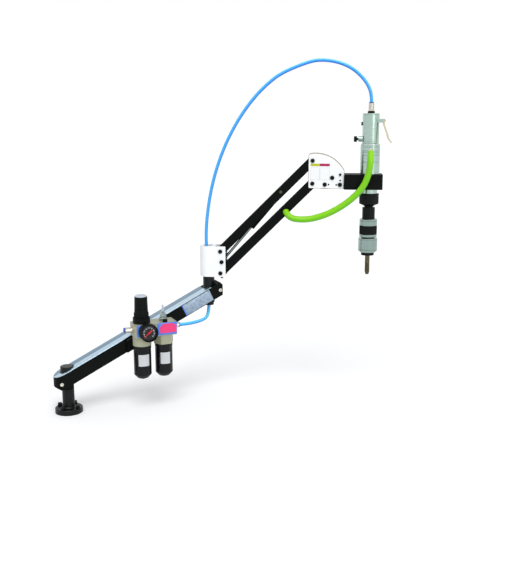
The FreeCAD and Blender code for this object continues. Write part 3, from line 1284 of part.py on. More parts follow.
def push_in_fittings():
    """The unit's inlet, open for the supply hose, and its outlet, which holds the feed hose."""
    inlet = push_in(INLET_LENGTH, FITTING_BORE_DEPTH, FITTING_BORE_R)
    hose_in = LUBRICATOR_X + LUBRICATOR_RIGHT + OUTLET_LENGTH - FEED_ROUTE[0][0]
    outlet = push_in(OUTLET_LENGTH, hose_in, HOSE_R)
    left = on_unit(REGULATOR_X - REGULATOR_LEFT, PORT_Z)
    right = on_unit(LUBRICATOR_X + LUBRICATOR_RIGHT, PORT_Z)
    save("push_in_fittings", turned(inlet, left, V(-1, 0, 0)), turned(outlet, right, ALONG_X))


def push_in(length, bore_depth, bore_r):
    """Profile of a fitting: hexagon's round, sleeve and release ring, with its bore from the outer end."""
    sleeve_end = length - FITTING_RING_T
    return [
        (HOSE_CORE_R, 0), (FITTING_HEX_R, 0), (FITTING_HEX_R, FITTING_HEX_T),
        (FITTING_SLEEVE_R, FITTING_HEX_T),
        (FITTING_SLEEVE_R, sleeve_end), (FITTING_RING_R, sleeve_end), (FITTING_RING_R, length),
        (bore_r, length),
        (bore_r, length - bore_depth), (HOSE_CORE_R, length - bore_depth),
    ]


# Hoses: straight runs joined by arcs as large as the runs allow


def hose(name, route, radius):
    """The tube along a route, with its bend radii and its volume against section times length printed."""
    points = [V(*p) for p in route]
    edges, bends, start = [], [], points[0]
    for before, corner, after in zip(points, points[1:], points[2:]):
        into, out = (corner - before).normalize(), (after - corner).normalize()
        half_turn = into.getAngle(out) / 2
        cut = BEND_SHARE * min((corner - before).Length, (after - corner).Length)
        bend = cut / tan(half_turn)
        bends.append(bend)
        arc_start, arc_end = corner - into * cut, corner + out * cut
        inward = (out - into).normalize()
        middle = corner + inward * (bend / cos(half_turn) - bend)
        edges.append(Part.LineSegment(start, arc_start).toShape())
        edges.append(Part.Arc(arc_start, middle, arc_end).toShape())
        start = arc_end
    edges.append(Part.LineSegment(start, points[-1]).toShape())
    path = Part.Wire(edges)
    section = Part.Wire([Part.Circle(points[0], points[1] - points[0], radius).toShape()])
    tube = path.makePipeShell([section], True, False)
    expected = pi * radius**2 * path.Length
    print(f"{name}: length {path.Length:.1f}, volume over section times length {tube.Volume / expected:.5f}")
    print("  bend radii", " ".join(f"{b:.0f}" for b in bends))
    return tube


def hoses():
    save("feed_hose", hose("feed_hose", FEED_ROUTE, HOSE_R))
    save("air_hose_arch", to_arm2(hose("air_hose_arch", ARCH_ROUTE, HOSE_R)))
    save("air_hose_riser", to_arm2(hose("air_hose_riser", RISER_ROUTE, HOSE_R)))
    save("exhaust_hose", to_arm2(hose("exhaust_hose", EXHAUST_ROUTE, EXHAUST_R)))


def main():
    os.makedirs("parts", exist_ok=True)
    pieces = [
        base_flange, base_bolts, base_column, column_cap, base_hub, column_bushes, pinch_bolts,
        lower_arm_beam,
        beam_top_strip, elbow_block, elbow_post, swivel_housing, swivel_bushes, housing_bolts, lower_bar,
        upper_bar,
        bar_bushes, hose_grommet, gas_spring_cylinder, gas_spring_rod, head_plates, tool_block, head_bolts,
        motor_body, motor_rotor, motor_head, reverse_valve,
        reverse_button, motor_fittings, lever_bracket, throttle_lever, nose_nut, spindle, chuck_body,
        chuck_band,
        chuck_collar, tap, unit_bracket, regulator_body, regulator_bonnet, regulator_knob, bowls,
        unit_inserts,
        drain_button, lubricator_body, sight_dome, drip_screw, oil_plug, gauge, gauge_needle,
        push_in_fittings, hoses,
    ]
    for piece in pieces:
        piece()


main()
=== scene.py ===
"""An air-powered tapping machine on a folding two-part arm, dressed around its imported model."""

from math import cos, pi, radians, sin, tan

import bmesh
import bpy
from bpy.props import FloatProperty, FloatVectorProperty, IntProperty, PointerProperty
from mathutils import Matrix, Vector


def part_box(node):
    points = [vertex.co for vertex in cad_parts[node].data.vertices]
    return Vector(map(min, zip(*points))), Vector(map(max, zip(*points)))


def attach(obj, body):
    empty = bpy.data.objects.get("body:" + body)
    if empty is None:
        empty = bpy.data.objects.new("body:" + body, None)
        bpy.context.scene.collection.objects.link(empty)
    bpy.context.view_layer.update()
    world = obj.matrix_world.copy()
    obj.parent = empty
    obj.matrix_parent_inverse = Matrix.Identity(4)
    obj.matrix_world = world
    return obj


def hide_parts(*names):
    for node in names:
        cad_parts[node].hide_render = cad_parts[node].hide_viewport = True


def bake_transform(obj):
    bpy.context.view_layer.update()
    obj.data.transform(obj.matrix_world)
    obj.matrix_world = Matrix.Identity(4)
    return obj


bl_info = {
    "name": "Arm Tapping Machine",
    "version": (1, 0, 0),
    "blender": (4, 5, 0),
    "location": "3D View > Sidebar > Tapper",
    "description": "Builds an air tapping machine on a folding arm",
    "category": "Object",
}

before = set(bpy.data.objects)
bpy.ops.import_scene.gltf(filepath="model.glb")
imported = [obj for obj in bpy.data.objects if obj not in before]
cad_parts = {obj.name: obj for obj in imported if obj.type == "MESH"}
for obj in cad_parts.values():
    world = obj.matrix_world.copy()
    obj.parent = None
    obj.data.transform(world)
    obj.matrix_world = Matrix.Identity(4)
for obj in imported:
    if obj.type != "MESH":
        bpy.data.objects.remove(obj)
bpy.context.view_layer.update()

# Pieces are shaped in millimetres and the scene is in metres.
MM = 0.001
IN_METRES = Matrix.Scale(MM, 4)
# Turned corners closer than this, in millimetres, are one.
TOUCHING = 0.001

# The upper arm's own directions: along it, across it away from the camera, and up.
ARM_TURN = radians(-29)
ELBOW_X = 355
ARM = Matrix.Translation((ELBOW_X, 0, 0)) @ Matrix.Rotation(ARM_TURN, 4, "Z")
TOOL_S = 386
TOOL = ARM @ Matrix.Translation((TOOL_S, 0, 0))


# Helpers.


def linear(colour):
    """Turn an sRGB hex value into a socket's linear colour; the panel's colours are linear."""
    if not isinstance(colour, str):
        return tuple(colour)
    shares = [int(colour[i : i + 2], 16) / 255 for i in (1, 3, 5)]
    return (*[c / 12.92 if c <= 0.04045 else ((c + 0.055) / 1.055) ** 2.4 for c in shares], 1.0)


def feed(tree, node, inputs):
    """Give a node's inputs their values, or the sockets that feed them."""
    for name, value in inputs.items():
        if isinstance(value, bpy.types.NodeSocket):
            tree.links.new(value, node.inputs[name])
        else:
            node.inputs[name].default_value = value


def add(tree, kind, inputs=(), **settings):
    """Add one node with its settings, and with values or links on its inputs."""
    node = tree.nodes.new(kind)
    for name, value in settings.items():
        setattr(node, name, value)
    feed(tree, node, dict(inputs))
    return node


def finish_named(name):
    """Give a material that the finishes step has made."""
    return bpy.data.materials[name]


def span(node):
    """Give a CAD node's lowest and highest corners in millimetres."""
    low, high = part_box(node)
    return low / MM, high / MM


def middle(node):
    """Give the middle of a CAD node's box in millimetres."""
    low, high = span(node)
    return (low + high) / 2


def piece(name, bm, body, finishes, place=None, stands_for=(), smooth=35):
    """Make a bmesh in millimetres a piece that rides on its body, with its place in its mesh."""
    bm.transform(IN_METRES @ (place or Matrix()))
    mesh = bpy.data.meshes.new(name)
    bm.to_mesh(mesh)
    bm.free()
    for name_of_finish in finishes:
        mesh.materials.append(finish_named(name_of_finish))
    mesh.shade_smooth()
    mesh.set_sharp_from_angle(angle=radians(smooth))
    obj = bpy.data.objects.new(name, mesh)
    bpy.context.scene.collection.objects.link(obj)
    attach(obj, body)
    if stands_for:
        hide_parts(*stands_for)


def painted(faces, paint):
    """Give faces the finish of that number in their piece."""
    for face in faces:
        face.material_index = paint
    return faces


def corners_of(faces):
    """Give the corners of some faces, each once and in the same order in every run."""
    return list(dict.fromkeys(v for f in faces for v in f.verts))


def faces_at(corners):
    """Give the faces around some corners, each once and in the same order in every run."""
    return list(dict.fromkeys(f for v in corners for f in v.link_faces))


def raised(bm, face, depth):
    """Raise one face to a closed solid by a depth along Z."""
    grown = bmesh.ops.extrude_face_region(bm, geom=[face])["geom"]
    top = [g for g in grown if isinstance(g, bmesh.types.BMVert)]
    bmesh.ops.translate(bm, verts=top, vec=(0, 0, depth))
    made = [*faces_at(top), face]
    bmesh.ops.recalc_face_normals(bm, faces=made)
    return made


def turn(bm, outline, steps=64, paint=0):
    """Turn an outline of (radius, height) points about Z, closed where it meets the axis."""
    corners = [bm.verts.new((r, 0, h)) for r, h in outline]
    edges = [bm.edges.new(pair) for pair in zip(corners, corners[1:])]
    before = set(bm.faces)
    bmesh.ops.spin(
        bm,
        geom=corners + edges,
        cent=(0, 0, 0),
        axis=(0, 0, 1),
        angle=2 * pi,
        steps=steps,
        use_merge=True,
    )
    made = [f for f in bm.faces if f not in before]
    bmesh.ops.remove_doubles(bm, verts=corners_of(made), dist=TOUCHING)
    made = [f for f in bm.faces if f not in before]
    bmesh.ops.recalc_face_normals(bm, faces=made)
    return painted(made, paint)


def slab(bm, outline, depth, paint=0):
    """Raise a flat outline of (x, y) points by a depth along Z."""
    face = bm.faces.new([bm.verts.new((x, y, 0)) for x, y in outline])
    return painted(raised(bm, face, depth), paint)


def block(bm, low, high, paint=0):
    """Add a box between two corners."""
    low, high = Vector(low), Vector(high)
    grown = bmesh.ops.create_cube(bm, size=1)["verts"]
    bmesh.ops.scale(bm, verts=grown, vec=high - low)
    bmesh.ops.translate(bm, verts=grown, vec=(low + high) / 2)
    return painted(faces_at(grown), paint)


def rod(bm, radius, depth, sides, centre, paint):
    """Add an upright rod around a point."""
    grown = bmesh.ops.create_cone(
        bm, cap_ends=True, radius1=radius, radius2=radius, depth=depth, segments=sides
    )["verts"]
    bmesh.ops.translate(bm, verts=grown, vec=centre)
    return painted(faces_at(grown), paint)


def soften(bm, faces, width, segments=2, sharper_than=30):
    """Round the sharp edges of these faces, and give the faces that this makes."""
    edges = [
        e
        for e in dict.fromkeys(e for f in faces for e in f.edges)
        if len(e.link_faces) == 2 and e.calc_face_angle(0) > radians(sharper_than)
    ]
    return bmesh.ops.bevel(
        bm,
        geom=edges,
        offset=width,
        offset_type="OFFSET",
        affect="EDGES",
        segments=segments,
        profile=0.5,
        material=-1,
        clamp_overlap=True,
    )["faces"]


def facing(origin, along, up=(0, 0, 1)):
    """Give the matrix that carries Z to a direction, with its origin at a point."""
    z = Vector(along).normalized()
    x = Vector(up).cross(z)
    if x.length < 1e-6:
        x = Vector((1, 0, 0))
    x.normalize()
    axes = Matrix((x, z.cross(x), z)).transposed().to_4x4()
    return Matrix.Translation(Vector(origin)) @ axes


def barrel(radius, low, high, edge, grooves=(), depth=0, width=0):
    """Give the (radius, height) outline of a turned barrel with chamfers and grooves."""
    points = [(radius - edge, low), (radius, low + edge)]
    for height in grooves:
        points += [
            (radius, height - width / 2),
            (radius - depth, height - width / 4),
            (radius - depth, height + width / 4),
            (radius, height + width / 2),
        ]
    return points + [(radius, high - edge), (radius - edge, high)]


def plug(points):
    """Close an outline to the axis at both ends."""
    return [(0, points[0][1]), *points, (0, points[-1][1])]


def patch(bm, radius, low, high, first, last, thickness, paint=0):
    """Wrap a thin film around a round part, between two angles in degrees."""
    foot = Matrix.Rotation(radians(first), 3, "Z") @ Vector((radius, 0, low))
    ends = [bm.verts.new(foot), bm.verts.new(foot + Vector((0, 0, high - low)))]
    before = set(bm.faces)
    bmesh.ops.spin(
        bm,
        geom=[*ends, bm.edges.new(ends)],
        cent=(0, 0, 0),
        axis=(0, 0, 1),
        angle=radians(last - first),
        steps=12,
    )
    made = [f for f in bm.faces if f not in before]
    bmesh.ops.recalc_face_normals(bm, faces=made)
    if made[0].normal.dot(made[0].calc_center_median() * Vector((1, 1, 0))) < 0:
        bmesh.ops.reverse_faces(bm, faces=made)
    bmesh.ops.solidify(bm, geom=made, thickness=-thickness)
    painted([f for f in bm.faces if f not in before], paint)


def arm_point(s, y, z):
    """Give the place in metres of a point measured along, across and above the upper arm."""
    return (ARM @ (Vector((s, y, z)) / MM)) * MM


# Finishes.


# Sizes of the patterns in metres: a coat's patches, a moulding's flow marks, a tube's draw marks.
DRIFT = 0.045
FLOW = 0.006
DRAW = 0.012


def shader(name):
    """Start a material and give its tree, its Object coordinates and its surface shader."""
    material = bpy.data.materials.new(name)
    material.use_nodes = True
    tree = material.node_tree
    surface = tree.nodes["Principled BSDF"]
    coordinates = add(tree, "ShaderNodeTexCoord")
    return tree, coordinates.outputs["Object"], surface


def pattern(tree, place, size, detail, **more):
    """Give a noise whose patches have that size in metres."""
    inputs = {"Vector": place, "Scale": 1 / size, "Detail": detail, **more}
    return add(tree, "ShaderNodeTexNoise", inputs).outputs["Fac"]


def tone(tree, share, light, dark):
    """Give a colour between a dark and a light one."""
    ends = {0: share, 6: linear(dark), 7: linear(light)}
    return add(tree, "ShaderNodeMix", ends, data_type="RGBA").outputs[2]


def gloss(tree, share, low, high):
    """Give a roughness between two values."""
    ends = {"Value": share, "To Min": low, "To Max": high}
    return add(tree, "ShaderNodeMapRange", ends).outputs["Result"]


def skin(tree, surface, base, rough, height, depth, own):
    """Give a surface its colour, roughness and relief, and the finish's own values.

    The own values are named as the sockets are, with underscores for spaces.
    """
    bump = add(tree, "ShaderNodeBump", {"Height": height, "Distance": depth})
    inputs = {"Base Color": base, "Roughness": rough, "Normal": bump.outputs["Normal"]}
    feed(tree, surface, {**inputs, **{k.replace("_", " "): value for k, value in own.items()}})


def coat(name, light, dark, grain, rough, depth, **own):
    """Make a sprayed or moulded skin: a fine pebble over a slow drift of tone.

    grain is the size of one pebble in metres, and depth how far it stands up.
    """
    tree, place, surface = shader(name)
    pebble = pattern(tree, place, grain, 3)
    drift = pattern(tree, place, DRIFT, 4)
    base = tone(tree, drift, light, dark)
    skin(tree, surface, base, gloss(tree, drift, rough - 0.05, rough + 0.07), pebble, depth, own)


def metal(name, light, dark, rough, pitch, depth, stretch=(1, 1, 1), **own):
    """Make a cut metal skin whose tool marks run along the axis with the smallest stretch.

    pitch is the spacing of the marks in metres, and depth how deep they are.
    """
    tree, place, surface = shader(name)
    laid = add(tree, "ShaderNodeMapping", {"Vector": place, "Scale": stretch})
    marks = pattern(tree, laid.outputs["Vector"], pitch, 3, Roughness=0.6)
    base = tone(tree, marks, light, dark)
    own = {"Metallic": 1.0, **own}
    skin(tree, surface, base, gloss(tree, marks, rough - 0.06, rough + 0.08), marks, depth, own)


def glassy(name, colour, rough, **own):
    """Make a clear moulding with faint flow marks."""
    tree, place, surface = shader(name)
    flow = pattern(tree, place, FLOW, 1)
    own = {"Transmission Weight": 0.92, **own}
    skin(tree, surface, linear(colour), rough, flow, 0.00005, own)


def hose_skin(name, light, dark, rough, **own):
    """Make a pressed polyurethane tube: glossy, with faint draw marks, a painted highlight on its
    upper side and painted shade below.
    """
    tree, place, surface = shader(name)
    drawn = pattern(tree, place, DRAW, 2)
    # Painted light: the colour runs from the dark colour where the surface faces down to the light
    # colour where it faces up, as painted shade and a painted highlight.
    outward = add(tree, "ShaderNodeNewGeometry").outputs["Normal"]
    upward = add(tree, "ShaderNodeSeparateXYZ", {"Vector": outward}).outputs["Z"]
    painted_light_share = add(tree, "ShaderNodeMapRange", {"Value": upward, "From Min": -0.7, "From Max": 0.9})
    base = tone(tree, painted_light_share.outputs["Result"], light, dark)
    sheen = {"Specular IOR Level": 0.3, "Coat Weight": 0.12, "Coat Roughness": 0.08}
    skin(tree, surface, base, rough, drawn, 0.0001, {**sheen, "Subsurface Weight": 0.1, **own})


def colour(name, description, value):
    """Give a colour that the panel can change."""
    return FloatVectorProperty(
        name=name, description=description, default=linear(value), subtype="COLOR", size=4
    )


class TapperColours(bpy.types.PropertyGroup):
    black_coat: colour("Black coat", "Powder coat of the arms", "#0A0E0C")
    white_enamel: colour("White enamel", "Housing and side plates", "#FBFCFE")
    casting: colour("Castings", "Paint of the air unit", "#B3B49B")
    barrel: colour("Motor", "Turned aluminium of the motor", "#BED4CA")
    # The two tube colours are the painted highlight on each tube's upper side.
    air_tube_painted_highlight: colour("Air tube", "Light side of the air tube", "#62DCFF")
    exhaust_tube_painted_highlight: colour("Exhaust tube", "Light side of the exhaust tube", "#90DA04")
    front_film: colour("Front film", "Film on the air unit", "#F0357F")


class TAPPER_OT_finishes(bpy.types.Operator):
    """Make every paint, metal and plastic of the machine"""

    bl_idname = "tapper.finishes"
    bl_label = "Finishes"

    def execute(self, context):
        colours = context.scene.tapper_colours
        # Rings that a lathe leaves: long around the part, short along it.
        lathe = dict(stretch=(0.03, 0.03, 1))
        # Baked satin coat on cast iron and steel: near black, soft sheen, 1.2 mm pebble.
        satin = dict(grain=0.0012, rough=0.5, depth=0.00006, Specular_IOR_Level=0.07)
        coat("Satin black powder coat", colours.black_coat, "#060908", **satin)
        # Thinner gloss coat on the turned base parts: black, its edges and top faces shine.
        gloss = dict(grain=0.0016, rough=0.34, depth=0.00003, Specular_IOR_Level=0.2)
        coat("Gloss black enamel", "#101615", "#090C0D", **gloss)
        # Sprayed enamel: bright, slightly cold white with a gloss skin.
        clear = dict(Coat_Weight=0.3, Coat_Roughness=0.12)
        coat("White enamel", colours.white_enamel, "#EEF1F5", 0.0014, 0.3, 0.00003, **clear)
        # Rim of the sheet and its chamfer: warm dull brown, darker than the white faces.
        coat("Brown sheet rim", "#9A8D6C", "#7E7254", 0.0012, 0.5, 0.00002)
        # Drawn aluminium: lines along the beam, painted blue-white as a painted reflection on the
        # near band; its shaded copy is the far band's painted shade.
        drawn = dict(pitch=0.0012, depth=0.00004, stretch=(0.02, 1, 1))
        metal("Drawn aluminium", "#CFE4F2", "#A3BFD2", 0.3, **drawn)
        metal("Drawn aluminium, shaded band", "#8FA9BD", "#6C879C", 0.4, **drawn)
        # Turned and bead-blasted aluminium: pale grey-green, with rings 0.9 mm apart.
        metal("Turned aluminium", colours.barrel, "#93A9A0", 0.24, 0.0009, 0.00001, **lathe)
        # Painted zinc casting: warm grey, sandy, dull.
        coat("Painted zinc casting", colours.casting, "#85896F", 0.0009, 0.38, 0.00006)
        # Milled aluminium of the seat ring: brighter than the blasted barrel, partly as a milled
        # face and partly as a painted highlight of the band of light that the ring catches.
        metal("Milled aluminium, painted highlight", "#DCE2E0", "#C4CCC9", 0.24, 0.0009, 0.00001)
        # Spring strip with the straw tint that chromating leaves.
        metal("Chromated spring strip", "#DCD2B4", "#BFB38F", 0.3, 0.0012, 0.00002, Metallic=0.6)
        # Black-oxide steel of cap screws: dark, oily, fine grained.
        oxide = dict(Metallic=0.0, Specular_IOR_Level=0.13)
        metal("Black-oxide steel", "#0B100E", "#060908", 0.36, 0.0006, 0.00002, **oxide)
        # Ground and polished steel. Its marks are finer than the picture shows, so they are
        # drawn 0.9 mm apart.
        metal("Ground steel", "#A3B6AC", "#77898A", 0.17, 0.0009, 0.000004, **lathe)
        # Hardened tool steel: darker, with a straw tint from tempering.
        hard = dict(stretch=(0.1, 0.1, 1))
        metal("Tempered tool steel", "#6F6A52", "#3B382C", 0.26, 0.0012, 0.00001, **hard)
        # Nickel plate over brass: warm and bright.
        metal("Nickel plate", "#DAD6CC", "#B9B3A6", 0.2, 0.001, 0.00001)
        # Sintered bronze bush: brown-gold, porous.
        metal("Sintered bronze", "#A9844F", "#7C5F38", 0.45, 0.0005, 0.00003)
        # Glass-filled nylon: black, fine matt pebble of a spark-eroded mould.
        nylon = dict(grain=0.0007, rough=0.5, depth=0.00005, Specular_IOR_Level=0.1)
        coat("Moulded black nylon", "#0C0F0E", "#070A09", **nylon)
        # Bowl guard: smoother black nylon with a soft gloss.
        smooth = dict(grain=0.0016, rough=0.3, depth=0.00002, Specular_IOR_Level=0.2)
        coat("Gloss black guard", "#0D0E11", "#07080A", **smooth)
        # Clear polycarbonate of the dome: hardly any tint.
        glassy("Clear polycarbonate", "#E8F0F0", 0.06, IOR=1.58)
        # The same plastic with a hazed, wet inner side, which looks pale from outside.
        glassy("Hazed polycarbonate", "#DCE4E2", 0.22, IOR=1.5)
        # Etched plate: pale blue-grey satin, with cloudy patches from the acid.
        metal("Etched aluminium plate", "#B6C9DC", "#56697F", 0.4, 0.006, 0.00002, Metallic=0.3)
        # Thin flat acrylic lens: clear, with only a trace of haze.
        lens = dict(Alpha=0.03, Specular_IOR_Level=0.05)
        coat("Thin acrylic lens", "#2A2E33", "#1E2226", 0.004, 0.3, 0.000001, **lens)
        # Printed dial: flat matt black, its pale marks and the red pointer.
        ink = dict(grain=0.0004, depth=0.00001)
        coat("Dial black", "#15161A", "#0D0E11", rough=0.6, **ink)
        coat("Dial white", "#F0F1F2", "#DEDFE2", rough=0.6, **ink)
        coat("Pointer red", "#DE1226", "#C20A1E", rough=0.5, **ink)
        # Acetal release rings and the anodised front plates of the air unit: clean blues.
        coat("Blue acetal", "#2F62B8", "#244F9B", 0.0008, 0.38, 0.00002)
        coat("Blue enamel plate", "#4F83E6", "#3B6CD2", 0.0012, 0.35, 0.00002)
        # Plain printed films: flat, even colour with a low sheen.
        printed = dict(grain=0.0012, depth=0.00001)
        coat("Rose film", colours.front_film, "#DE2A6C", rough=0.4, **printed)
        coat("Ochre film", "#C2C62A", "#ACB01E", rough=0.4, **printed)
        coat("Crimson film", "#B01158", "#9A0C4B", rough=0.4, **printed)
        coat("White film", "#F4F5F7", "#EAECEF", rough=0.4, **printed)
        coat("Pale grey film", "#CDD0D3", "#BABEC2", rough=0.5, **printed)
        # Moulded acetal caps: pale, cool and smooth.
        coat("Pale grey acetal", "#CBD3DD", "#B6BFCB", 0.001, 0.4, 0.00002)
        # Pressed polyurethane: blue with a cyan painted highlight on its upper side, lime with a
        # yellow one, each darker below as painted shade.
        tints = (
            ("Blue polyurethane tube", colours.air_tube_painted_highlight, "#1468E4", 0.25, 0.003),
            ("Lime polyurethane tube", colours.exhaust_tube_painted_highlight, "#62BA00", 0.28, 0.004),
        )
        # light is each tube's painted highlight on its upper side, dark its painted shade below.
        for name, light, dark, rough, glow in tints:
            hose_skin(name, light, dark, rough, Subsurface_Scale=glow)
        return {"FINISHED"}


# Tubes.


# Points of each tube's run. The feed tube's are in the machine's frame; the others are
# measured along, across and above the upper arm.
FEED_RUN = (
    (0.250, -0.060, 0.1985),
    (0.266, -0.060, 0.1985),
    (0.286, -0.057, 0.1983),
    (0.309, -0.0475, 0.198),
    (0.331, -0.031, 0.198),
    (0.3455, -0.0135, 0.200),
    (0.355, 0, 0.2175),
    (0.355, 0, 0.2415),
)
ARCH_RUN = (
    (0.386, 0, 0.712),
    (0.386, 0, 0.730),
    (0.3775, 0, 0.753),
    (0.361, 0, 0.7735),
    (0.339, 0, 0.7915),
    (0.3115, 0, 0.8035),
    (0.280, 0, 0.8095),
    (0.246, 0, 0.8083),
    (0.212, 0, 0.79515),
)
RISER_RUN = (
    (0.212, 0, 0.79515),
    (0.178, 0, 0.782),
    (0.145, 0, 0.7575),
    (0.1155, 0, 0.7285),
    (0.089, 0, 0.695),
    (0.065, 0, 0.6575),
    (0.0435, 0, 0.6155),
    (0.0255, 0, 0.570),
    (0.0115, 0, 0.5225),
    (0.002, 0, 0.4745),
    (-0.004, 0, 0.427),
    (-0.0054, 0, 0.385),
    (-0.003, 0, 0.347),
    (-0.0004, 0, 0.3085),
    (0, 0, 0.270),
)
EXHAUST_RUN = (
    (0.386, -0.029, 0.5995),
    (0.3855, -0.041, 0.5915),
    (0.3845, -0.0435, 0.5715),
    (0.3805, -0.043, 0.546),
    (0.3695, -0.042, 0.521),
    (0.3495, -0.041, 0.498),
    (0.3225, -0.040, 0.4765),
    (0.289, -0.0395, 0.4575),
    (0.250, -0.039, 0.445),
    (0.219, -0.0385, 0.444),
    (0.2025, -0.036, 0.4475),
    (0.1935, -0.030, 0.455),
    (0.190, -0.0215, 0.461),
)
# Real lengths in metres, end to end.
FEED_LENGTH = 0.157
ARCH_LENGTH = 0.229
RISER_LENGTH = 0.605
EXHAUST_LENGTH = 0.302
TUBE_FINISHES = {"blue_hose": "Blue polyurethane tube", "green_hose": "Lime polyurethane tube"}


class TapperTubes(bpy.types.PropertyGroup):
    air_diameter: FloatProperty(
        name="Blue tube", description="Its outer diameter", default=0.008, unit="LENGTH"
    )
    exhaust_diameter: FloatProperty(
        name="Lime tube", description="Its outer diameter", default=0.015, unit="LENGTH"
    )


def smooth_run(name, points):
    """Make a curve of one smooth open spline that has these points as its control points."""
    curve = bpy.data.curves.new(name, "CURVE")
    curve.dimensions = "3D"
    spline = curve.splines.new("NURBS")
    spline.points.add(len(points) - 1)
    for spot, point in zip(spline.points, points):
        spot.co = (*point, 1)
    spline.order_u = 3
    spline.use_endpoint_u = True
    spline.resolution_u = 16
    return curve


def tube(name, node, points, length, bodies, first=0, *, diameter, slot, **lie):
    """Lay one tube as a round mesh in place of its CAD solid.

    With two bodies it is baked in place and rides on neither body. The number first is not used.
    """
    curve = smooth_run(name, points)
    laid = bpy.data.objects.new(name + "_line", curve)
    path = [tuple(vertex.co) for vertex in bpy.data.meshes.new_from_object(laid).vertices]
    curve.bevel_depth = diameter / 2
    curve.bevel_resolution = 6
    curve.use_fill_caps = True
    curve.materials.append(finish_named(TUBE_FINISHES[slot]))
    obj = bpy.data.objects.new(name, bpy.data.meshes.new_from_object(laid))
    bpy.context.scene.collection.objects.link(obj)
    bpy.data.objects.remove(laid)
    if len(bodies) > 1:
        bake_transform(obj)
    else:
        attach(obj, *bodies)
    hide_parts(node)


class TAPPER_OT_tubes(bpy.types.Operator):
    """Lay the blue air tubes and the lime exhaust tube"""

    bl_idname = "tapper.tubes"
    bl_label = "Tubes"

    def execute(self, context):
        sizes = context.scene.tapper_tubes
        blue = dict(diameter=sizes.air_diameter, slot="blue_hose", stiffness="stiff", lay="loose")
        lime = dict(diameter=sizes.exhaust_diameter, slot="green_hose")
        lime.update(stiffness="medium", lay="hanging")
        arm = ("lower_arm",)
        tube("feed_tube", "feed_hose", [Vector(p) for p in FEED_RUN], FEED_LENGTH, arm, **blue)
        # The air hose is laid in two parts, and the lime tube in one.
        arch, riser, exhaust = (
            [arm_point(*point) for point in run] for run in (ARCH_RUN, RISER_RUN, EXHAUST_RUN)
        )
        bodies = ("head", "hose_arch")
        tube("arch_tube", "air_hose_arch", arch, ARCH_LENGTH, bodies, **blue)
        bodies = ("hose_arch", "hose_riser")
        tube("riser_tube", "air_hose_riser", riser, RISER_LENGTH, bodies, **blue)
        bodies = ("head", "lower_link")
        tube("lime_tube", "exhaust_hose", exhaust, EXHAUST_LENGTH, bodies, 1, **lime)
        return {"FINISHED"}


# Frame.


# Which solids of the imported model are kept, by the finish that each takes.
KEPT = {
    "Satin black powder coat": (
        "base_hub lower_arm_beam elbow_block unit_bracket tool_block "
        "lower_bar upper_bar gas_spring_cylinder"
    ),
    "Gloss black enamel": "base_flange base_column column_cap elbow_post",
    "Black-oxide steel": (
        "base_bolts head_bolts housing_bolts lower_bar_bushes nose_nut spindle chuck_band"
    ),
    "Nickel plate": "pinch_bolts push_in_fittings motor_fittings",
    "Sintered bronze": "column_bushes swivel_bushes",
    "Drawn aluminium": "beam_top_strip",
    "Painted zinc casting": "regulator_body lubricator_body",
    "Moulded black nylon": (
        "regulator_bonnet oil_plug gauge_case hose_grommet regulator_knob reverse_button"
    ),
    "Gloss black guard": "filter_bowl lubricator_bowl",
    "Clear polycarbonate": "sight_dome",
    "Thin acrylic lens": "gauge_lens",
    "Pale grey acetal": "unit_inserts drip_screw drain_button",
    "Dial black": "gauge_dial",
    "White enamel": "swivel_housing",
    "Turned aluminium": "motor_body motor_head lever_bracket",
    "Chromated spring strip": "throttle_lever",
    "Ground steel": "gas_spring_rod chuck_body chuck_collar reverse_valve motor_rotor",
    "Tempered tool steel": "tap upper_bar_fittings",
}


class TAPPER_OT_frame(bpy.types.Operator):
    """Give the carried-over solids their finishes"""

    bl_idname = "tapper.frame"
    bl_label = "Frame finishes"

    def execute(self, context):
        for finish, names in KEPT.items():
            for name in names.split():
                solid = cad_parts[name]
                solid.data.materials.clear()
                solid.data.materials.append(finish_named(finish))
        return {"FINISHED"}


# Tool.


# Radii and heights of the turned tool parts in millimetres; other heights come from the frame.
MOTOR_R = 23
MOTOR_HEAD_R = 19.5
NOSE_R = 19
CHUCK_R = 21
CHUCK_CORE_R = 15.5
COLLAR_R = 22.7
NUT_R = 23.7
NUT_NECK_R = 10.5
BARREL_LOW = 549
EXHAUST_Z = 602
SIDE_PLUG_Z = 665.2
# The air inlet's radii: its seat, hexagon, body and release ring.
SEAT_R = 8.2
HEXAGON_R = 7.6
INLET_R = 6.6
RELEASE_R = 5.8
# Where the barrel's grooves lie, as shares of its height.
BARREL_GROOVES = (0.42, 0.655, 0.745, 0.80, 0.93)


class TapperTool(bpy.types.PropertyGroup):
    groove_depth: FloatProperty(
        name="Groove depth", description="Depth of the turned grooves, in millimetres", default=0.9
    )
    groove_width: FloatProperty(
        name="Groove width", description="Width of the turned grooves, in millimetres", default=1.8
    )
    knurls: IntProperty(name="Knurls", description="Ridges around the nose nut", default=48)


def turned(name, rings, body, finishes, node, place=TOOL, steps=96):
    """Make a turned piece of closed rings, each with its own finish, in place of a node."""
    bm = bmesh.new()
    for paint, outline in rings:
        turn(bm, plug(outline), steps, paint)
    piece(name, bm, body, finishes, place, (node,) if node else ())


def ridged(bm, radius, low, high, count, depth):
    """Turn a barrel with straight ridges around it, closed at both ends."""
    start = bmesh.ops.create_circle(bm, cap_ends=True, radius=radius, segments=count * 2)["verts"]
    for number, corner in enumerate(start):
        reach = radius if number % 2 else radius - depth
        corner.co = corner.co.normalized() * reach
        corner.co.z = low
    raised(bm, start[0].link_faces[0], high - low)


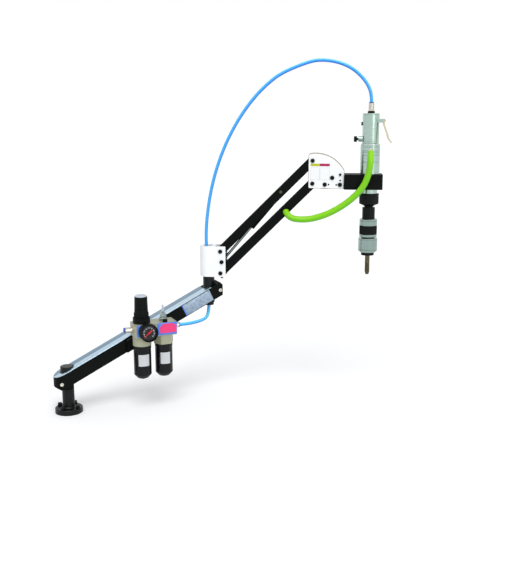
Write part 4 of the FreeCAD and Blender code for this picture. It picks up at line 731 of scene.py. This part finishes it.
class TAPPER_OT_tool(bpy.types.Operator):
    """Turn the air motor, its fittings and the tapping chuck"""

    bl_idname = "tapper.tool"
    bl_label = "Tool"

    def execute(self, context):
        tool = context.scene.tapper_tool
        depth, width = tool.groove_depth, tool.groove_width
        oxide = ["Black-oxide steel"]

        low, high = span("motor_body")
        tall = high.z - BARREL_LOW
        grooves = [BARREL_LOW + tall * share for share in BARREL_GROOVES]
        foot = BARREL_LOW + 0.2
        nose = [(NOSE_R - 0.6, low.z), (NOSE_R, low.z + 0.6), (NOSE_R, foot)]
        body = nose + barrel(MOTOR_R, foot, high.z, 0.8, grooves, depth, width)
        finishes = ["Turned aluminium", "Milled aluminium, painted highlight"]
        turned("motor_barrel", [(0, body)], "head", finishes[:1], "motor_body")

        # Motor head: a milled seat ring under the neck, and a thin pad near the top.
        low, high = span("motor_head")
        ring_high = low.z + 3
        tall = high.z - ring_high
        lines = [ring_high + tall * 0.06, high.z - 3.4]
        bm = bmesh.new()
        # The seat ring takes the brighter milled finish, partly a painted highlight.
        turn(bm, plug(barrel(MOTOR_R - 1.4, low.z, ring_high, 0.7)), 96, 1)
        turn(bm, plug(barrel(MOTOR_HEAD_R, ring_high, high.z, 1.2, lines, 0.5, 1.2)), 96)
        patch(bm, MOTOR_HEAD_R + 0.05, high.z - 11, high.z - 4.5, 232, 262, 0.3)
        piece("motor_top", bm, "head", finishes, TOOL, ("motor_head",))

        # Black seat, nickel push-in body with its hexagon, and the blue release ring.
        seat, top = high.z, span("motor_fittings")[1].z
        bm = bmesh.new()
        turn(bm, plug(barrel(SEAT_R, seat - 0.5, seat + 5, 0.8)), 48)
        soften(bm, rod(bm, HEXAGON_R, 7, 6, (0, 0, seat + 8.5), 1), 0.5)
        turn(bm, plug(barrel(INLET_R, seat + 12, top - 2.4, 0.8, [seat + 16], 0.6, 1.6)), 48, 1)
        turn(bm, plug(barrel(RELEASE_R, top - 2.5, top, 0.7)), 48, 2)
        finishes = ["Moulded black nylon", "Nickel plate", "Blue acetal"]
        piece("air_inlet_fitting", bm, "head", finishes, TOOL)

        # The exhaust tube's socket on the near side, inside the tube's end.
        socket = TOOL @ facing((0, -MOTOR_R + 3, EXHAUST_Z), (0, -1, 0.25))
        rings, nickel = [(0, barrel(6.2, 0, 5.5, 0.9))], ["Nickel plate"]
        turned("exhaust_socket", rings, "head", nickel, "motor_fittings", socket, 48)

        # Black blanking plug in the head's side, above the reversing valve.
        side = TOOL @ facing((-MOTOR_HEAD_R + 0.3, 0, SIDE_PLUG_Z), (-1, 0, 0))
        rings, nylon = [(0, barrel(4.3, 0, 3.2, 0.6))], ["Moulded black nylon"]
        turned("side_plug_cap", rings, "head", nylon, None, side, 32)

        # Ring nut: a plain rim over a ridged grip, and a steep cone down to the neck.
        low, high = span("nose_nut")
        bm = bmesh.new()
        cone = low.z + 7.4
        rim, grip = NUT_R - 0.3, NUT_R - 1.2
        nut = [(NUT_NECK_R, low.z), (NUT_NECK_R, low.z + 2.6), (20.5, cone), (grip, cone + 0.8)]
        nut += [(grip, high.z - 4.8), (rim, high.z - 4), (rim, high.z - 0.8), (grip, high.z)]
        turn(bm, plug(nut))
        ridged(bm, grip + 0.4, cone + 2, high.z - 5.4, tool.knurls, 0.6)
        piece("nose_ring_nut", bm, "head", oxide, TOOL, ("nose_nut",), 25)

        # Chuck: ground ring over and under a ridged black band, on a narrow dark waist.
        low, high = span("chuck_body")
        band_low, band_high = span("chuck_band")
        upper = barrel(CHUCK_R, band_high.z + 0.3, high.z, 1.0, [high.z - 4.5], 0.6, 1.4)
        under = barrel(CHUCK_R, band_low.z - 6.8, band_low.z - 0.3, 0.8)
        core = [(CHUCK_CORE_R, low.z), (CHUCK_CORE_R, high.z - 1)]
        rings = [(0, upper), (0, under), (1, core)]
        finishes = ["Ground steel", *oxide]
        turned("chuck_rings", rings, "spindle", finishes, "chuck_body")
        bm = bmesh.new()
        ridged(bm, CHUCK_R - 0.1, band_low.z, band_high.z, tool.knurls, 0.7)
        piece("chuck_grip_band", bm, "spindle", oxide, TOOL, ("chuck_band",), 25)

        # Locking collar: a chamfered foot and two grooves.
        low, high = span("chuck_collar")
        foot = low.z + 3.4
        lines = [low.z + (high.z - low.z) * 0.2, high.z - 3.2]
        collar = [(COLLAR_R - 3.2, low.z), (COLLAR_R, foot)]
        collar += barrel(COLLAR_R, foot, high.z, 0.9, lines, 0.6, 1.4)[1:]
        bm = bmesh.new()
        turn(bm, plug(collar))
        node = "chuck_collar"
        piece("quick_change_collar", bm, node, finishes[:1], TOOL, (node,))
        return {"FINISHED"}


# Air unit.


# Bowl guards in millimetres, how many steps of the turned wall a sight slot is wide, and the
# shares of the height that it spans.
BOWL_R = 21
BOWL_NECK = 0.975
BOWL_WALL = 2.4
CUP_R = 17.6
SLOT_STEPS = 2
SLOT_SPAN = (0.25, 0.77)
# The guard's outline: shares of its radius and of its height.
GUARD = (
    (0.42, 0.0),
    (0.62, 0.0),
    (0.66, 0.012),
    (0.94, 0.095),
    (0.985, 0.118),
    (0.985, 0.135),
    (BOWL_NECK, 0.145),
    (BOWL_NECK, 0.24),
    (BOWL_NECK, 0.78),
    (BOWL_NECK, 0.90),
    (1.0, 0.91),
    (1.0, 0.99),
    (0.985, 1.0),
)
# Which way the sight slots and the films face, in degrees about each bowl.
FILTER_WAYS = (207, (228, 301))
LUBRICATOR_WAYS = (222, (231, 297))
# The knob's grip, as radius and height over its foot, and its cap, as radius and depth below it.
KNOB_FOOT = 11
KNOB_GRIP = (
    (16.2, -0.5),
    (16.0, 1),
    (15.6, 9),
    (14.9, 9.5),
    (15.5, 10),
    (15.3, 20),
    (14.6, 20.5),
    (15.2, 21),
)
KNOB_CAP = ((13.9, 3.4), (13.9, 1.4), (12.6, 0.2), (10.5, 0))
# The sight dome's outline: radius and share of its height.
DOME = (
    (9.6, 0),
    (9.6, 0.26),
    (8.4, 0.32),
    (8.4, 0.60),
    (7.4, 0.72),
    (5.0, 0.80),
    (4.6, 0.94),
    (2.6, 1),
)
# Gauge: the sweep of its marks and where the pointer rests, in degrees, and the marks' reach.
SWEEP = 270
POINTER_WAY = 40
MARK_END = 13.4
# Lower left corner of the lubricator's front plate, and the size of the regulator's.
FRONT_X = 196
FRONT_Z = 184
REGULATOR_FRONT = (13, 1.1, 28)


def upright(centre, y=None):
    """Give the place of a part that stands on an axis, or that faces the front at a depth y."""
    if y is None:
        return Matrix.Translation((centre.x, centre.y, 0))
    return Matrix.Translation((centre.x, y, centre.z)) @ Matrix.Rotation(pi / 2, 4, "X")


class TapperUnit(bpy.types.PropertyGroup):
    knob_ridges: IntProperty(name="Knob ridges", description="Around the knob's foot", default=30)
    dial_marks: IntProperty(name="Dial marks", description="Marks on the gauge", default=25)
    film_low: FloatProperty(
        name="Film low", description="Foot of the bowls' film", default=0.40, subtype="FACTOR"
    )
    film_high: FloatProperty(
        name="Film high", description="Top of the bowls' film", default=0.75, subtype="FACTOR"
    )


def guard(name, node, slot_way):
    """Make a bowl guard: a round wall with a sight slot, a chamfered foot and a lipped mouth."""
    low, high = span(node)
    tall = high.z - low.z
    bm = bmesh.new()
    made = turn(bm, [(BOWL_R * out, low.z + tall * up) for out, up in GUARD], 72)
    way = radians(slot_way)
    sight = Vector((cos(way), sin(way)))
    foot, top = (low.z + tall * share for share in SLOT_SPAN)
    wall = [f for f in made if foot < f.calc_center_median().z < top]
    wall.sort(key=lambda f: f.calc_center_median().xy.angle(sight))
    bmesh.ops.delete(bm, geom=wall[:SLOT_STEPS], context="FACES")
    bmesh.ops.solidify(bm, geom=list(bm.faces), thickness=BOWL_WALL)
    place = upright(middle(node))
    piece(name, bm, "lower_arm", ["Gloss black guard"], place, (node,))
    # The clear cup inside, seen through the slot.
    bm = bmesh.new()
    foot = low.z + tall * 0.1
    turn(bm, [(0, foot), (13, foot), (CUP_R, low.z + tall * 0.17), (CUP_R, high.z - 1)], 48)
    bmesh.ops.solidify(bm, geom=list(bm.faces), thickness=1.5)
    piece(name + "_cup", bm, "lower_arm", ["Hazed polycarbonate"], place)


def film(name, node, ways, low_share, high_share):
    """Lay a plain pale film around the front of a bowl guard."""
    low, high = span(node)
    tall = high.z - low.z
    bm = bmesh.new()
    edges = low.z + tall * low_share, low.z + tall * high_share
    patch(bm, BOWL_R * BOWL_NECK, *edges, *ways, 0.35)
    finishes = ["Pale grey film"]
    piece(name, bm, "lower_arm", finishes, upright(middle(node)))


def dial_mark(bm, angle, inner, width):
    """Add one mark to the dial, standing along its radius."""
    made = block(bm, (inner, -width / 2, 0), (MARK_END, width / 2, 0.15))
    way = Matrix.Rotation(angle, 3, "Z")
    bmesh.ops.rotate(bm, verts=corners_of(made), cent=(0, 0, 0), matrix=way)


class TAPPER_OT_unit(bpy.types.Operator):
    """Make the filter, the regulator, the gauge and the lubricator"""

    bl_idname = "tapper.unit"
    bl_label = "Air unit"

    def execute(self, context):
        unit = context.scene.tapper_unit
        shares = (unit.film_low, unit.film_high)
        guard("filter_guard", "filter_bowl", FILTER_WAYS[0])
        guard("lubricator_guard", "lubricator_bowl", LUBRICATOR_WAYS[0])
        film("filter_film", "filter_bowl", FILTER_WAYS[1], *shares)
        film("lubricator_film", "lubricator_bowl", LUBRICATOR_WAYS[1], *shares)

        # Knob: a ridged foot, a tapered grip with two fine lines, and a pale cap, whose pale colour
        # is partly a painted highlight on its top.
        low, high = span("regulator_knob")
        foot_top = low.z + KNOB_FOOT
        bm = bmesh.new()
        ridged(bm, 17.2, low.z, foot_top, unit.knob_ridges, 0.8)
        grip = [(out, foot_top + up) for out, up in KNOB_GRIP]
        turn(bm, plug([*grip, (14.8, high.z - 3.6), (14.2, high.z - 3)]))
        # The cap's pale grey stands partly for the light that its top catches: a painted highlight.
        turn(bm, plug([(out, high.z - down) for out, down in KNOB_CAP]), paint=1)
        finishes = ["Moulded black nylon", "Pale grey acetal"]
        place, node = upright(middle("regulator_knob")), "regulator_knob"
        piece("pressure_knob", bm, node, finishes, place, (node,))

        # Gauge: printed marks, the pointer over them and a rolled rim.
        low, high = span("gauge_case")
        dial = span("gauge_dial")[0].y
        centre = middle("gauge_case")
        bm = bmesh.new()
        step = radians(SWEEP) / (unit.dial_marks - 1)
        for number in range(unit.dial_marks):
            inner, wide = (11.8, 0.6) if number % 3 else (10.4, 1.1)
            dial_mark(bm, radians(-45) + number * step, inner, wide)
        front = upright(centre, dial - 0.05)
        piece("gauge_marks", bm, "lower_arm", ["Dial white"], front)
        # Pointer: a flat tapered blade with a short tail, on a round boss.
        bm = bmesh.new()
        near = [(-14.5, -0.7), (0, -1.7), (9.5, -1.9)]
        blade = slab(bm, near + [(x, -y) for x, y in reversed(near)], 0.7)
        soften(bm, blade, 0.15, 1)
        turn(bm, plug(barrel(2.6, -0.4, 1.1, 0.3)), 32)
        place = upright(centre, dial - 0.9) @ Matrix.Rotation(radians(POINTER_WAY), 4, "Z")
        red = ["Pointer red"]
        piece("gauge_pointer", bm, "gauge_needle", red, place, ("gauge_needle",))
        bm = bmesh.new()
        rim_r, deep = (high.x - low.x) / 2, dial - low.y
        rim = [(rim_r - 2.6, 0), (rim_r - 2.6, deep - 0.6), (rim_r - 2.2, deep)]
        rim += [(rim_r - 0.6, deep), (rim_r, deep - 0.8), (rim_r, deep - 3.5)]
        rim += [(rim_r - 0.3, deep - 3.8), (rim_r - 0.3, 0), (rim_r - 2.6, 0)]
        turn(bm, rim)
        place = upright(centre, dial)
        piece("gauge_rim", bm, "lower_arm", ["Gloss black guard"], place)

        # Front plates: blue over both castings, with a plain rose film on the right one.
        low, high = span("lubricator_body")
        wide, tall = high.x - FRONT_X, high.z - FRONT_Z
        bm = bmesh.new()
        soften(bm, block(bm, (0, 0, 0), (wide, 1.1, tall)), 0.5)
        outline = [(7, 4.5), (wide - 1.5, 4.5), (wide - 1.5, 19), (wide - 9, 26.5)]
        flat = slab(bm, outline + [(14, 26.5), (5, 18)], 0.35, 1)
        quarter = Matrix.Rotation(pi / 2, 3, "X")
        bmesh.ops.rotate(bm, verts=corners_of(flat), cent=(0, 0, 0), matrix=quarter)
        finishes = ["Blue enamel plate", "Rose film"]
        place = Matrix.Translation((FRONT_X, low.y - 1.0, FRONT_Z))
        piece("lubricator_front_plate", bm, "lower_arm", finishes, place)
        left = span("regulator_body")[0].x
        bm = bmesh.new()
        soften(bm, block(bm, (0, 0, 0), REGULATOR_FRONT), 0.5)
        place = Matrix.Translation((left + 4, low.y - 1.0, FRONT_Z))
        piece("regulator_front_plate", bm, "lower_arm", finishes[:1], place)

        # Sight dome: stepped clear cap over a pale seat, with the drip screw through it.
        low, high = span("sight_dome")
        tall = high.z - low.z
        bm = bmesh.new()
        turn(bm, [(out, low.z + tall * up) for out, up in DOME], 48)
        bmesh.ops.solidify(bm, geom=list(bm.faces), thickness=1.2)
        place = upright(middle("sight_dome"))
        haze, cast = ["Hazed polycarbonate"], ["Painted zinc casting"]
        piece("drip_dome", bm, "lower_arm", haze, place, ("sight_dome",))
        rings = [(0, barrel(6.2, low.z + 0.2, low.z + tall * 0.22, 0.6))]
        turned("drip_dome_seat", rings, "lower_arm", cast, None, place, 48)
        return {"FINISHED"}


# Lower arm.


# The beam leans up from the column: its middle line, slope and half height.
BEAM_RISE = radians(25.64)
BEAM_MIDDLE = 86.35
BEAM_HALF = 15.5
BEAM = Matrix.Translation((0, 0, BEAM_MIDDLE)) @ Matrix.Rotation(-BEAM_RISE, 4, "Y")
# The strip's room around the cap and the post, and where the hub's round end is centred.
CAP_ROOM = 16.6
POST_ROOM = 14.8
HUB_CENTRE = -7
STRIP_END = 352
# The plate on the beam's near side, measured level, and the distance of its rivets from its edge.
PLATE_FROM = 282
PLATE_TO = 352
RIVET_EDGE = 4.5
# The air unit's ports and their release rings: height, outer radius, length and bores.
PORT_Z = 198.5
RING_R = 6.3
RING_LENGTH = 3.4
INLET_BORE = 4.05
OUTLET_BORE = 4.1


def arc_points(centre, radius, first, last, stretch, steps=16):
    """Give the corners of an arc drawn level and stretched along the sloping beam."""
    turns = [radians(first + (last - first) * k / steps) for k in range(steps + 1)]
    return [((centre + radius * cos(a)) * stretch, radius * sin(a)) for a in turns]


def on_top(points):
    """Move level corners along the slope, because the beam's top stands square to it."""
    return [(x + BEAM_HALF * tan(BEAM_RISE), y) for x, y in points]


def release_ring(name, place, hole):
    """Slip a blue release ring around a tube where it enters its fitting."""
    bm = bmesh.new()
    rim = 0.6
    outer = [(RING_R, 0), (RING_R, RING_LENGTH - rim), (RING_R - rim, RING_LENGTH)]
    turn(bm, [(hole, 0), *outer, (hole, RING_LENGTH), (hole, 0)], 48)
    piece(name, bm, "lower_arm", ["Blue acetal"], place)


class TAPPER_OT_arm(bpy.types.Operator):
    """Dress the first arm: its top strip, its bare plate and the blue release rings"""

    bl_idname = "tapper.arm"
    bl_label = "First arm"

    def execute(self, context):
        # Extruded strip with a seam along it: a wide near band with a painted highlight and a far
        # band in painted shade. It lies round the cap on the hub and stops at the elbow post, so
        # its ends are cut as arcs.
        stretch = 1 / cos(BEAM_RISE)
        low, high = span("beam_top_strip")
        half = (high.y - low.y) / 2
        cap = arc_points(0, CAP_ROOM, 180, 360, stretch)
        post = arc_points(ELBOW_X, POST_ROOM, 180, 258, stretch)
        hub = arc_points(HUB_CENTRE, half - 0.6, 270, 180, stretch)
        bm = bmesh.new()
        near = slab(bm, on_top([*hub, *cap, *post, (STRIP_END * stretch, -half)]), 1.5)
        soften(bm, near, 0.3)
        wide = [*hub, *cap, post[0], (post[0][0], -half)]
        far = slab(bm, [(x, -y * 0.995) for x, y in reversed(on_top(wide))], 1.3, 1)
        soften(bm, far, 0.3)
        bmesh.ops.translate(bm, verts=bm.verts, vec=(0, 0, BEAM_HALF))
        # The second finish is the same aluminium, darker as painted shade on the far band.
        finishes = ["Drawn aluminium", "Drawn aluminium, shaded band"]
        body, slot, replaced = "lower_arm", "bare_aluminium", ("beam_top_strip",)
        piece("beam_cover_strip", bm, body, finishes, BEAM, replaced)

        # A bare plate on the beam's near side, held by four small rivets.
        side = span("lower_arm_beam")[0].y
        first, last = PLATE_FROM * stretch, PLATE_TO * stretch
        top = BEAM_HALF - 1.5
        bm = bmesh.new()
        plate = block(bm, (first - 1, side - 0.6, -top), (last, side + 0.1, top))
        soften(bm, plate, 0.2)
        for along in (first + 3, last - 4):
            for up in (-BEAM_HALF + RIVET_EDGE, BEAM_HALF - RIVET_EDGE):
                head = bmesh.ops.create_uvsphere(bm, u_segments=12, v_segments=6, radius=1.2)
                rivet = head["verts"]
                bmesh.ops.scale(bm, verts=rivet, vec=(1, 0.5, 1))
                bmesh.ops.translate(bm, verts=rivet, vec=(along, side - 0.6, up))
        # A blue line lies down the plate's lower end.
        top -= 0.2
        block(bm, (first - 0.9, side - 0.7, -top), (first + 1.6, side, top), 1)
        finishes = ["Etched aluminium plate", "Blue enamel plate"]
        piece("beam_plate", bm, body, finishes, BEAM)

        left, right = span("push_in_fittings")
        deep = middle("filter_bowl").y
        inlet = facing((left.x - 0.2, deep, PORT_Z), (1, 0, 0))
        release_ring("inlet_release_ring", inlet, INLET_BORE)
        outlet = facing((right.x - 3.2, deep, PORT_Z), (1, 0, 0))
        release_ring("outlet_release_ring", outlet, OUTLET_BORE)
        return {"FINISHED"}


# Head.


# The side plates' lower left corner along and above the upper arm, and how far each stands out.
PLATE_X = 242.27
PLATE_Z = 515.94
NEAR_PLATE = -15.3
FAR_PLATE = 19.3
PLATE_THICKNESS = 4
# The round shoulder of the side plates: its centre and radius.
SHOULDER_X = 16.42
SHOULDER_Y = 4.61
SHOULDER_R = 77.02
# Pins and screw ends on the plates: along, up and radius.
PINS = ((47.7, 9.1, 2), (65.7, 8.5, 2), (74.6, 18.6, 2))
SCREWS = (
    (9.7, 11, 4),
    (9.7, 64.3, 4),
    (38.8, 9, 3),
    (56, 24.9, 3),
    (74.3, 8.8, 3),
    (74.4, 32.2, 1.5),
)
# Films on the near plate: along, up, width, height and finish.
FILMS = (
    (5.1, 51.6, 21.6, 6.2, 0),
    (26.7, 51.6, 23, 6.2, 1),
    (5.1, 19.5, 20.8, 29, 2),
    (27, 19.5, 22.8, 29, 2),
)
FILM_CORNER = Vector((242.3, -19.3, 515.9))


class TAPPER_OT_head(bpy.types.Operator):
    """Cut the head's side plates and lay the plain films on the near one"""

    bl_idname = "tapper.head"
    bl_label = "Head"

    def execute(self, context):
        # Side plates: white faces and a brown rim. The outline starts at the lower corner and
        # climbs over the round shoulder.
        shoulder = arc_points(0, SHOULDER_R, 28.0, 98.5, 1)
        rim = [(4, 0), (83.1, -1.6)]
        rim += [(x + SHOULDER_X, y + SHOULDER_Y) for x, y in shoulder]
        rim += [(0, 77.9)] + [(4 + x, 4 + y) for x, y in arc_points(0, 4, 180, 262, 1, 6)]
        finishes = ["White enamel", "Brown sheet rim", "Black-oxide steel"]
        # Pins and screw ends stand a hair proud of the sheet that they are pressed into.
        near = ("front", NEAR_PLATE, PLATE_THICKNESS - 0.25, PINS)
        far = ("back", FAR_PLATE, 0.25, PINS + SCREWS)
        for side, depth, proud, ends in (near, far):
            bm = bmesh.new()
            made = slab(bm, rim, PLATE_THICKNESS)
            for face in made:
                face.material_index = int(abs(face.normal.z) < 0.5)
            painted(soften(bm, made, 0.9, 1, 60), 1)
            for x, y, radius in ends:
                rod(bm, radius, 0.8, 24, (x, y, proud), 2)
            stand = Matrix.Translation((PLATE_X, depth, PLATE_Z)) @ Matrix.Rotation(pi / 2, 4, "X")
            replaced = ("head_plate_" + side,)
            piece("head_side_" + side, bm, "head", finishes, ARM @ stand, replaced)

        bm = bmesh.new()
        for along, up, wide, tall, paint in FILMS:
            low = FILM_CORNER + Vector((along, -0.4, up))
            high = FILM_CORNER + Vector((along + wide, 0.05, up + tall))
            soften(bm, block(bm, low, high, paint), 0.15, 1)
            # The two tall films have a thin printed frame.
            if paint > 1:
                block(bm, low + Vector((0.6, -0.06, 0.6)), high - Vector((0.6, 0.1, 0.6)), 3)
        finishes = ["Ochre film", "Crimson film", "Pale grey film", "White film"]
        piece("head_films", bm, "head", finishes, ARM)
        return {"FINISHED"}


# Stage.


FRAME_HEIGHT = 36
# Emission of the floor and the room where they are looked at, and what lights the machine.
FLOOR_LIFT = 0.17
ROOM_LIGHT = 0.55
# Lamps: name, strength, width in degrees and the way their light goes.
LAMPS = (
    ("key", 1.25, 35, (0.3, 0.8, -1.3)),
    ("window", 0.75, 22, (-0.1, 1.0, -0.25)),
)


class TapperStage(bpy.types.PropertyGroup):
    floor_size: FloatProperty(
        name="Floor", description="Side of the floor", default=400.0, unit="LENGTH"
    )
    lens: FloatProperty(
        name="Lens", description="Focal length for a 36 mm tall frame", default=50.98, unit="CAMERA"
    )
    camera_place: FloatVectorProperty(
        name="Camera",
        description="Where the camera stands",
        default=(-0.322, -1.822, 0.680),
        subtype="TRANSLATION",
    )
    camera_way: FloatVectorProperty(
        name="Camera way",
        description="Level direction it looks in",
        default=(0.4067, 0.9135, 0),
        subtype="DIRECTION",
    )
    camera_pitch: FloatProperty(
        name="Pitch", description="How far it looks down", default=radians(11.7), subtype="ANGLE"
    )


def looked_at(tree):
    """Give a socket that is 1 where the camera, a mirror or glass looks at the surroundings."""
    path = add(tree, "ShaderNodeLightPath").outputs
    rays = {0: path["Is Camera Ray"], 1: path["Is Glossy Ray"]}
    seen = add(tree, "ShaderNodeMath", rays, operation="MAXIMUM")
    rays = {0: seen.outputs[0], 1: path["Is Transmission Ray"]}
    return add(tree, "ShaderNodeMath", rays, operation="MAXIMUM").outputs[0]


class TAPPER_OT_stage(bpy.types.Operator):
    """Set the floor, the light and the camera"""

    bl_idname = "tapper.stage"
    bl_label = "Stage"

    def execute(self, context):
        scene = context.scene
        stage = scene.tapper_stage
        scene.view_settings.view_transform = "Standard"

        # Matt white-painted board under the machine.
        material = bpy.data.materials.new("Matt white board")
        material.use_nodes = True
        tree = material.node_tree
        shares = {0: looked_at(tree), 1: FLOOR_LIFT}
        lift = add(tree, "ShaderNodeMath", shares, operation="MULTIPLY")
        board = {"Base Color": (0.96, 0.96, 0.96, 1), "Roughness": 0.9, "Specular IOR Level": 0.1}
        white = {"Emission Color": (1, 1, 1, 1), "Emission Strength": lift.outputs[0]}
        feed(tree, tree.nodes["Principled BSDF"], {**board, **white})
        bm = bmesh.new()
        bmesh.ops.create_grid(bm, x_segments=4, y_segments=4, size=stage.floor_size / 2)
        mesh = bpy.data.meshes.new("floor")
        bm.to_mesh(mesh)
        bm.free()
        mesh.materials.append(material)
        floor = bpy.data.objects.new("floor", mesh)
        scene.collection.objects.link(floor)

        world = bpy.data.worlds.new("White room")
        scene.world = world
        world.use_nodes = True
        tree = world.node_tree
        tree.nodes.clear()
        pale = {"Color": (0.96, 0.98, 1, 1), "Strength": ROOM_LIGHT}
        room = add(tree, "ShaderNodeBackground", pale)
        white = add(tree, "ShaderNodeBackground", {"Color": (1, 1, 1, 1), "Strength": 1.0})
        shown = {0: looked_at(tree), 1: room.outputs[0], 2: white.outputs[0]}
        mix = add(tree, "ShaderNodeMixShader", shown)
        add(tree, "ShaderNodeOutputWorld", {"Surface": mix.outputs[0]})

        for name, strength, width, way in LAMPS:
            lamp = bpy.data.lights.new(name, "SUN")
            lamp.energy = strength
            lamp.angle = radians(width)
            obj = bpy.data.objects.new(name, lamp)
            obj.rotation_euler = Vector(way).to_track_quat("-Z", "Y").to_euler()
            scene.collection.objects.link(obj)

        lens = bpy.data.cameras.new("camera")
        lens.sensor_fit = "VERTICAL"
        lens.sensor_height = FRAME_HEIGHT
        lens.lens = stage.lens
        camera = bpy.data.objects.new("camera", lens)
        camera.location = stage.camera_place
        level = Vector(stage.camera_way).normalized()
        look = level * cos(stage.camera_pitch) - Vector((0, 0, sin(stage.camera_pitch)))
        camera.rotation_euler = look.to_track_quat("-Z", "Y").to_euler()
        scene.collection.objects.link(camera)
        scene.camera = camera
        return {"FINISHED"}


# Panel.


STEPS = ("finishes", "frame", "arm", "unit", "head", "tool", "tubes", "stage")


class TAPPER_PT_panel(bpy.types.Panel):
    """Lists the steps that build the machine"""

    bl_label = "Arm tapping machine"
    bl_idname = "TAPPER_PT_panel"
    bl_space_type = "VIEW_3D"
    bl_region_type = "UI"
    bl_category = "Tapper"

    def draw(self, context):
        column = self.layout.column()
        for step in STEPS:
            column.operator("tapper." + step)
        for group in GROUPS:
            sizes = getattr(context.scene, group)
            for name in sizes.__annotations__:
                column.prop(sizes, name)


GROUPS = {
    "tapper_colours": TapperColours,
    "tapper_unit": TapperUnit,
    "tapper_tool": TapperTool,
    "tapper_tubes": TapperTubes,
    "tapper_stage": TapperStage,
}
CLASSES = (
    *GROUPS.values(),
    TAPPER_OT_finishes,
    TAPPER_OT_frame,
    TAPPER_OT_arm,
    TAPPER_OT_unit,
    TAPPER_OT_head,
    TAPPER_OT_tool,
    TAPPER_OT_tubes,
    TAPPER_OT_stage,
    TAPPER_PT_panel,
)


def register():
    for entry in CLASSES:
        bpy.utils.register_class(entry)
    for name, group in GROUPS.items():
        setattr(bpy.types.Scene, name, PointerProperty(type=group))


def unregister():
    for name in GROUPS:
        delattr(bpy.types.Scene, name)
    for entry in reversed(CLASSES):
        bpy.utils.unregister_class(entry)


def main():
    """Build the whole machine."""
    register()
    for step in STEPS:
        getattr(bpy.ops.tapper, step)()
    bpy.context.view_layer.update()


if __name__ == "__main__":
    main()
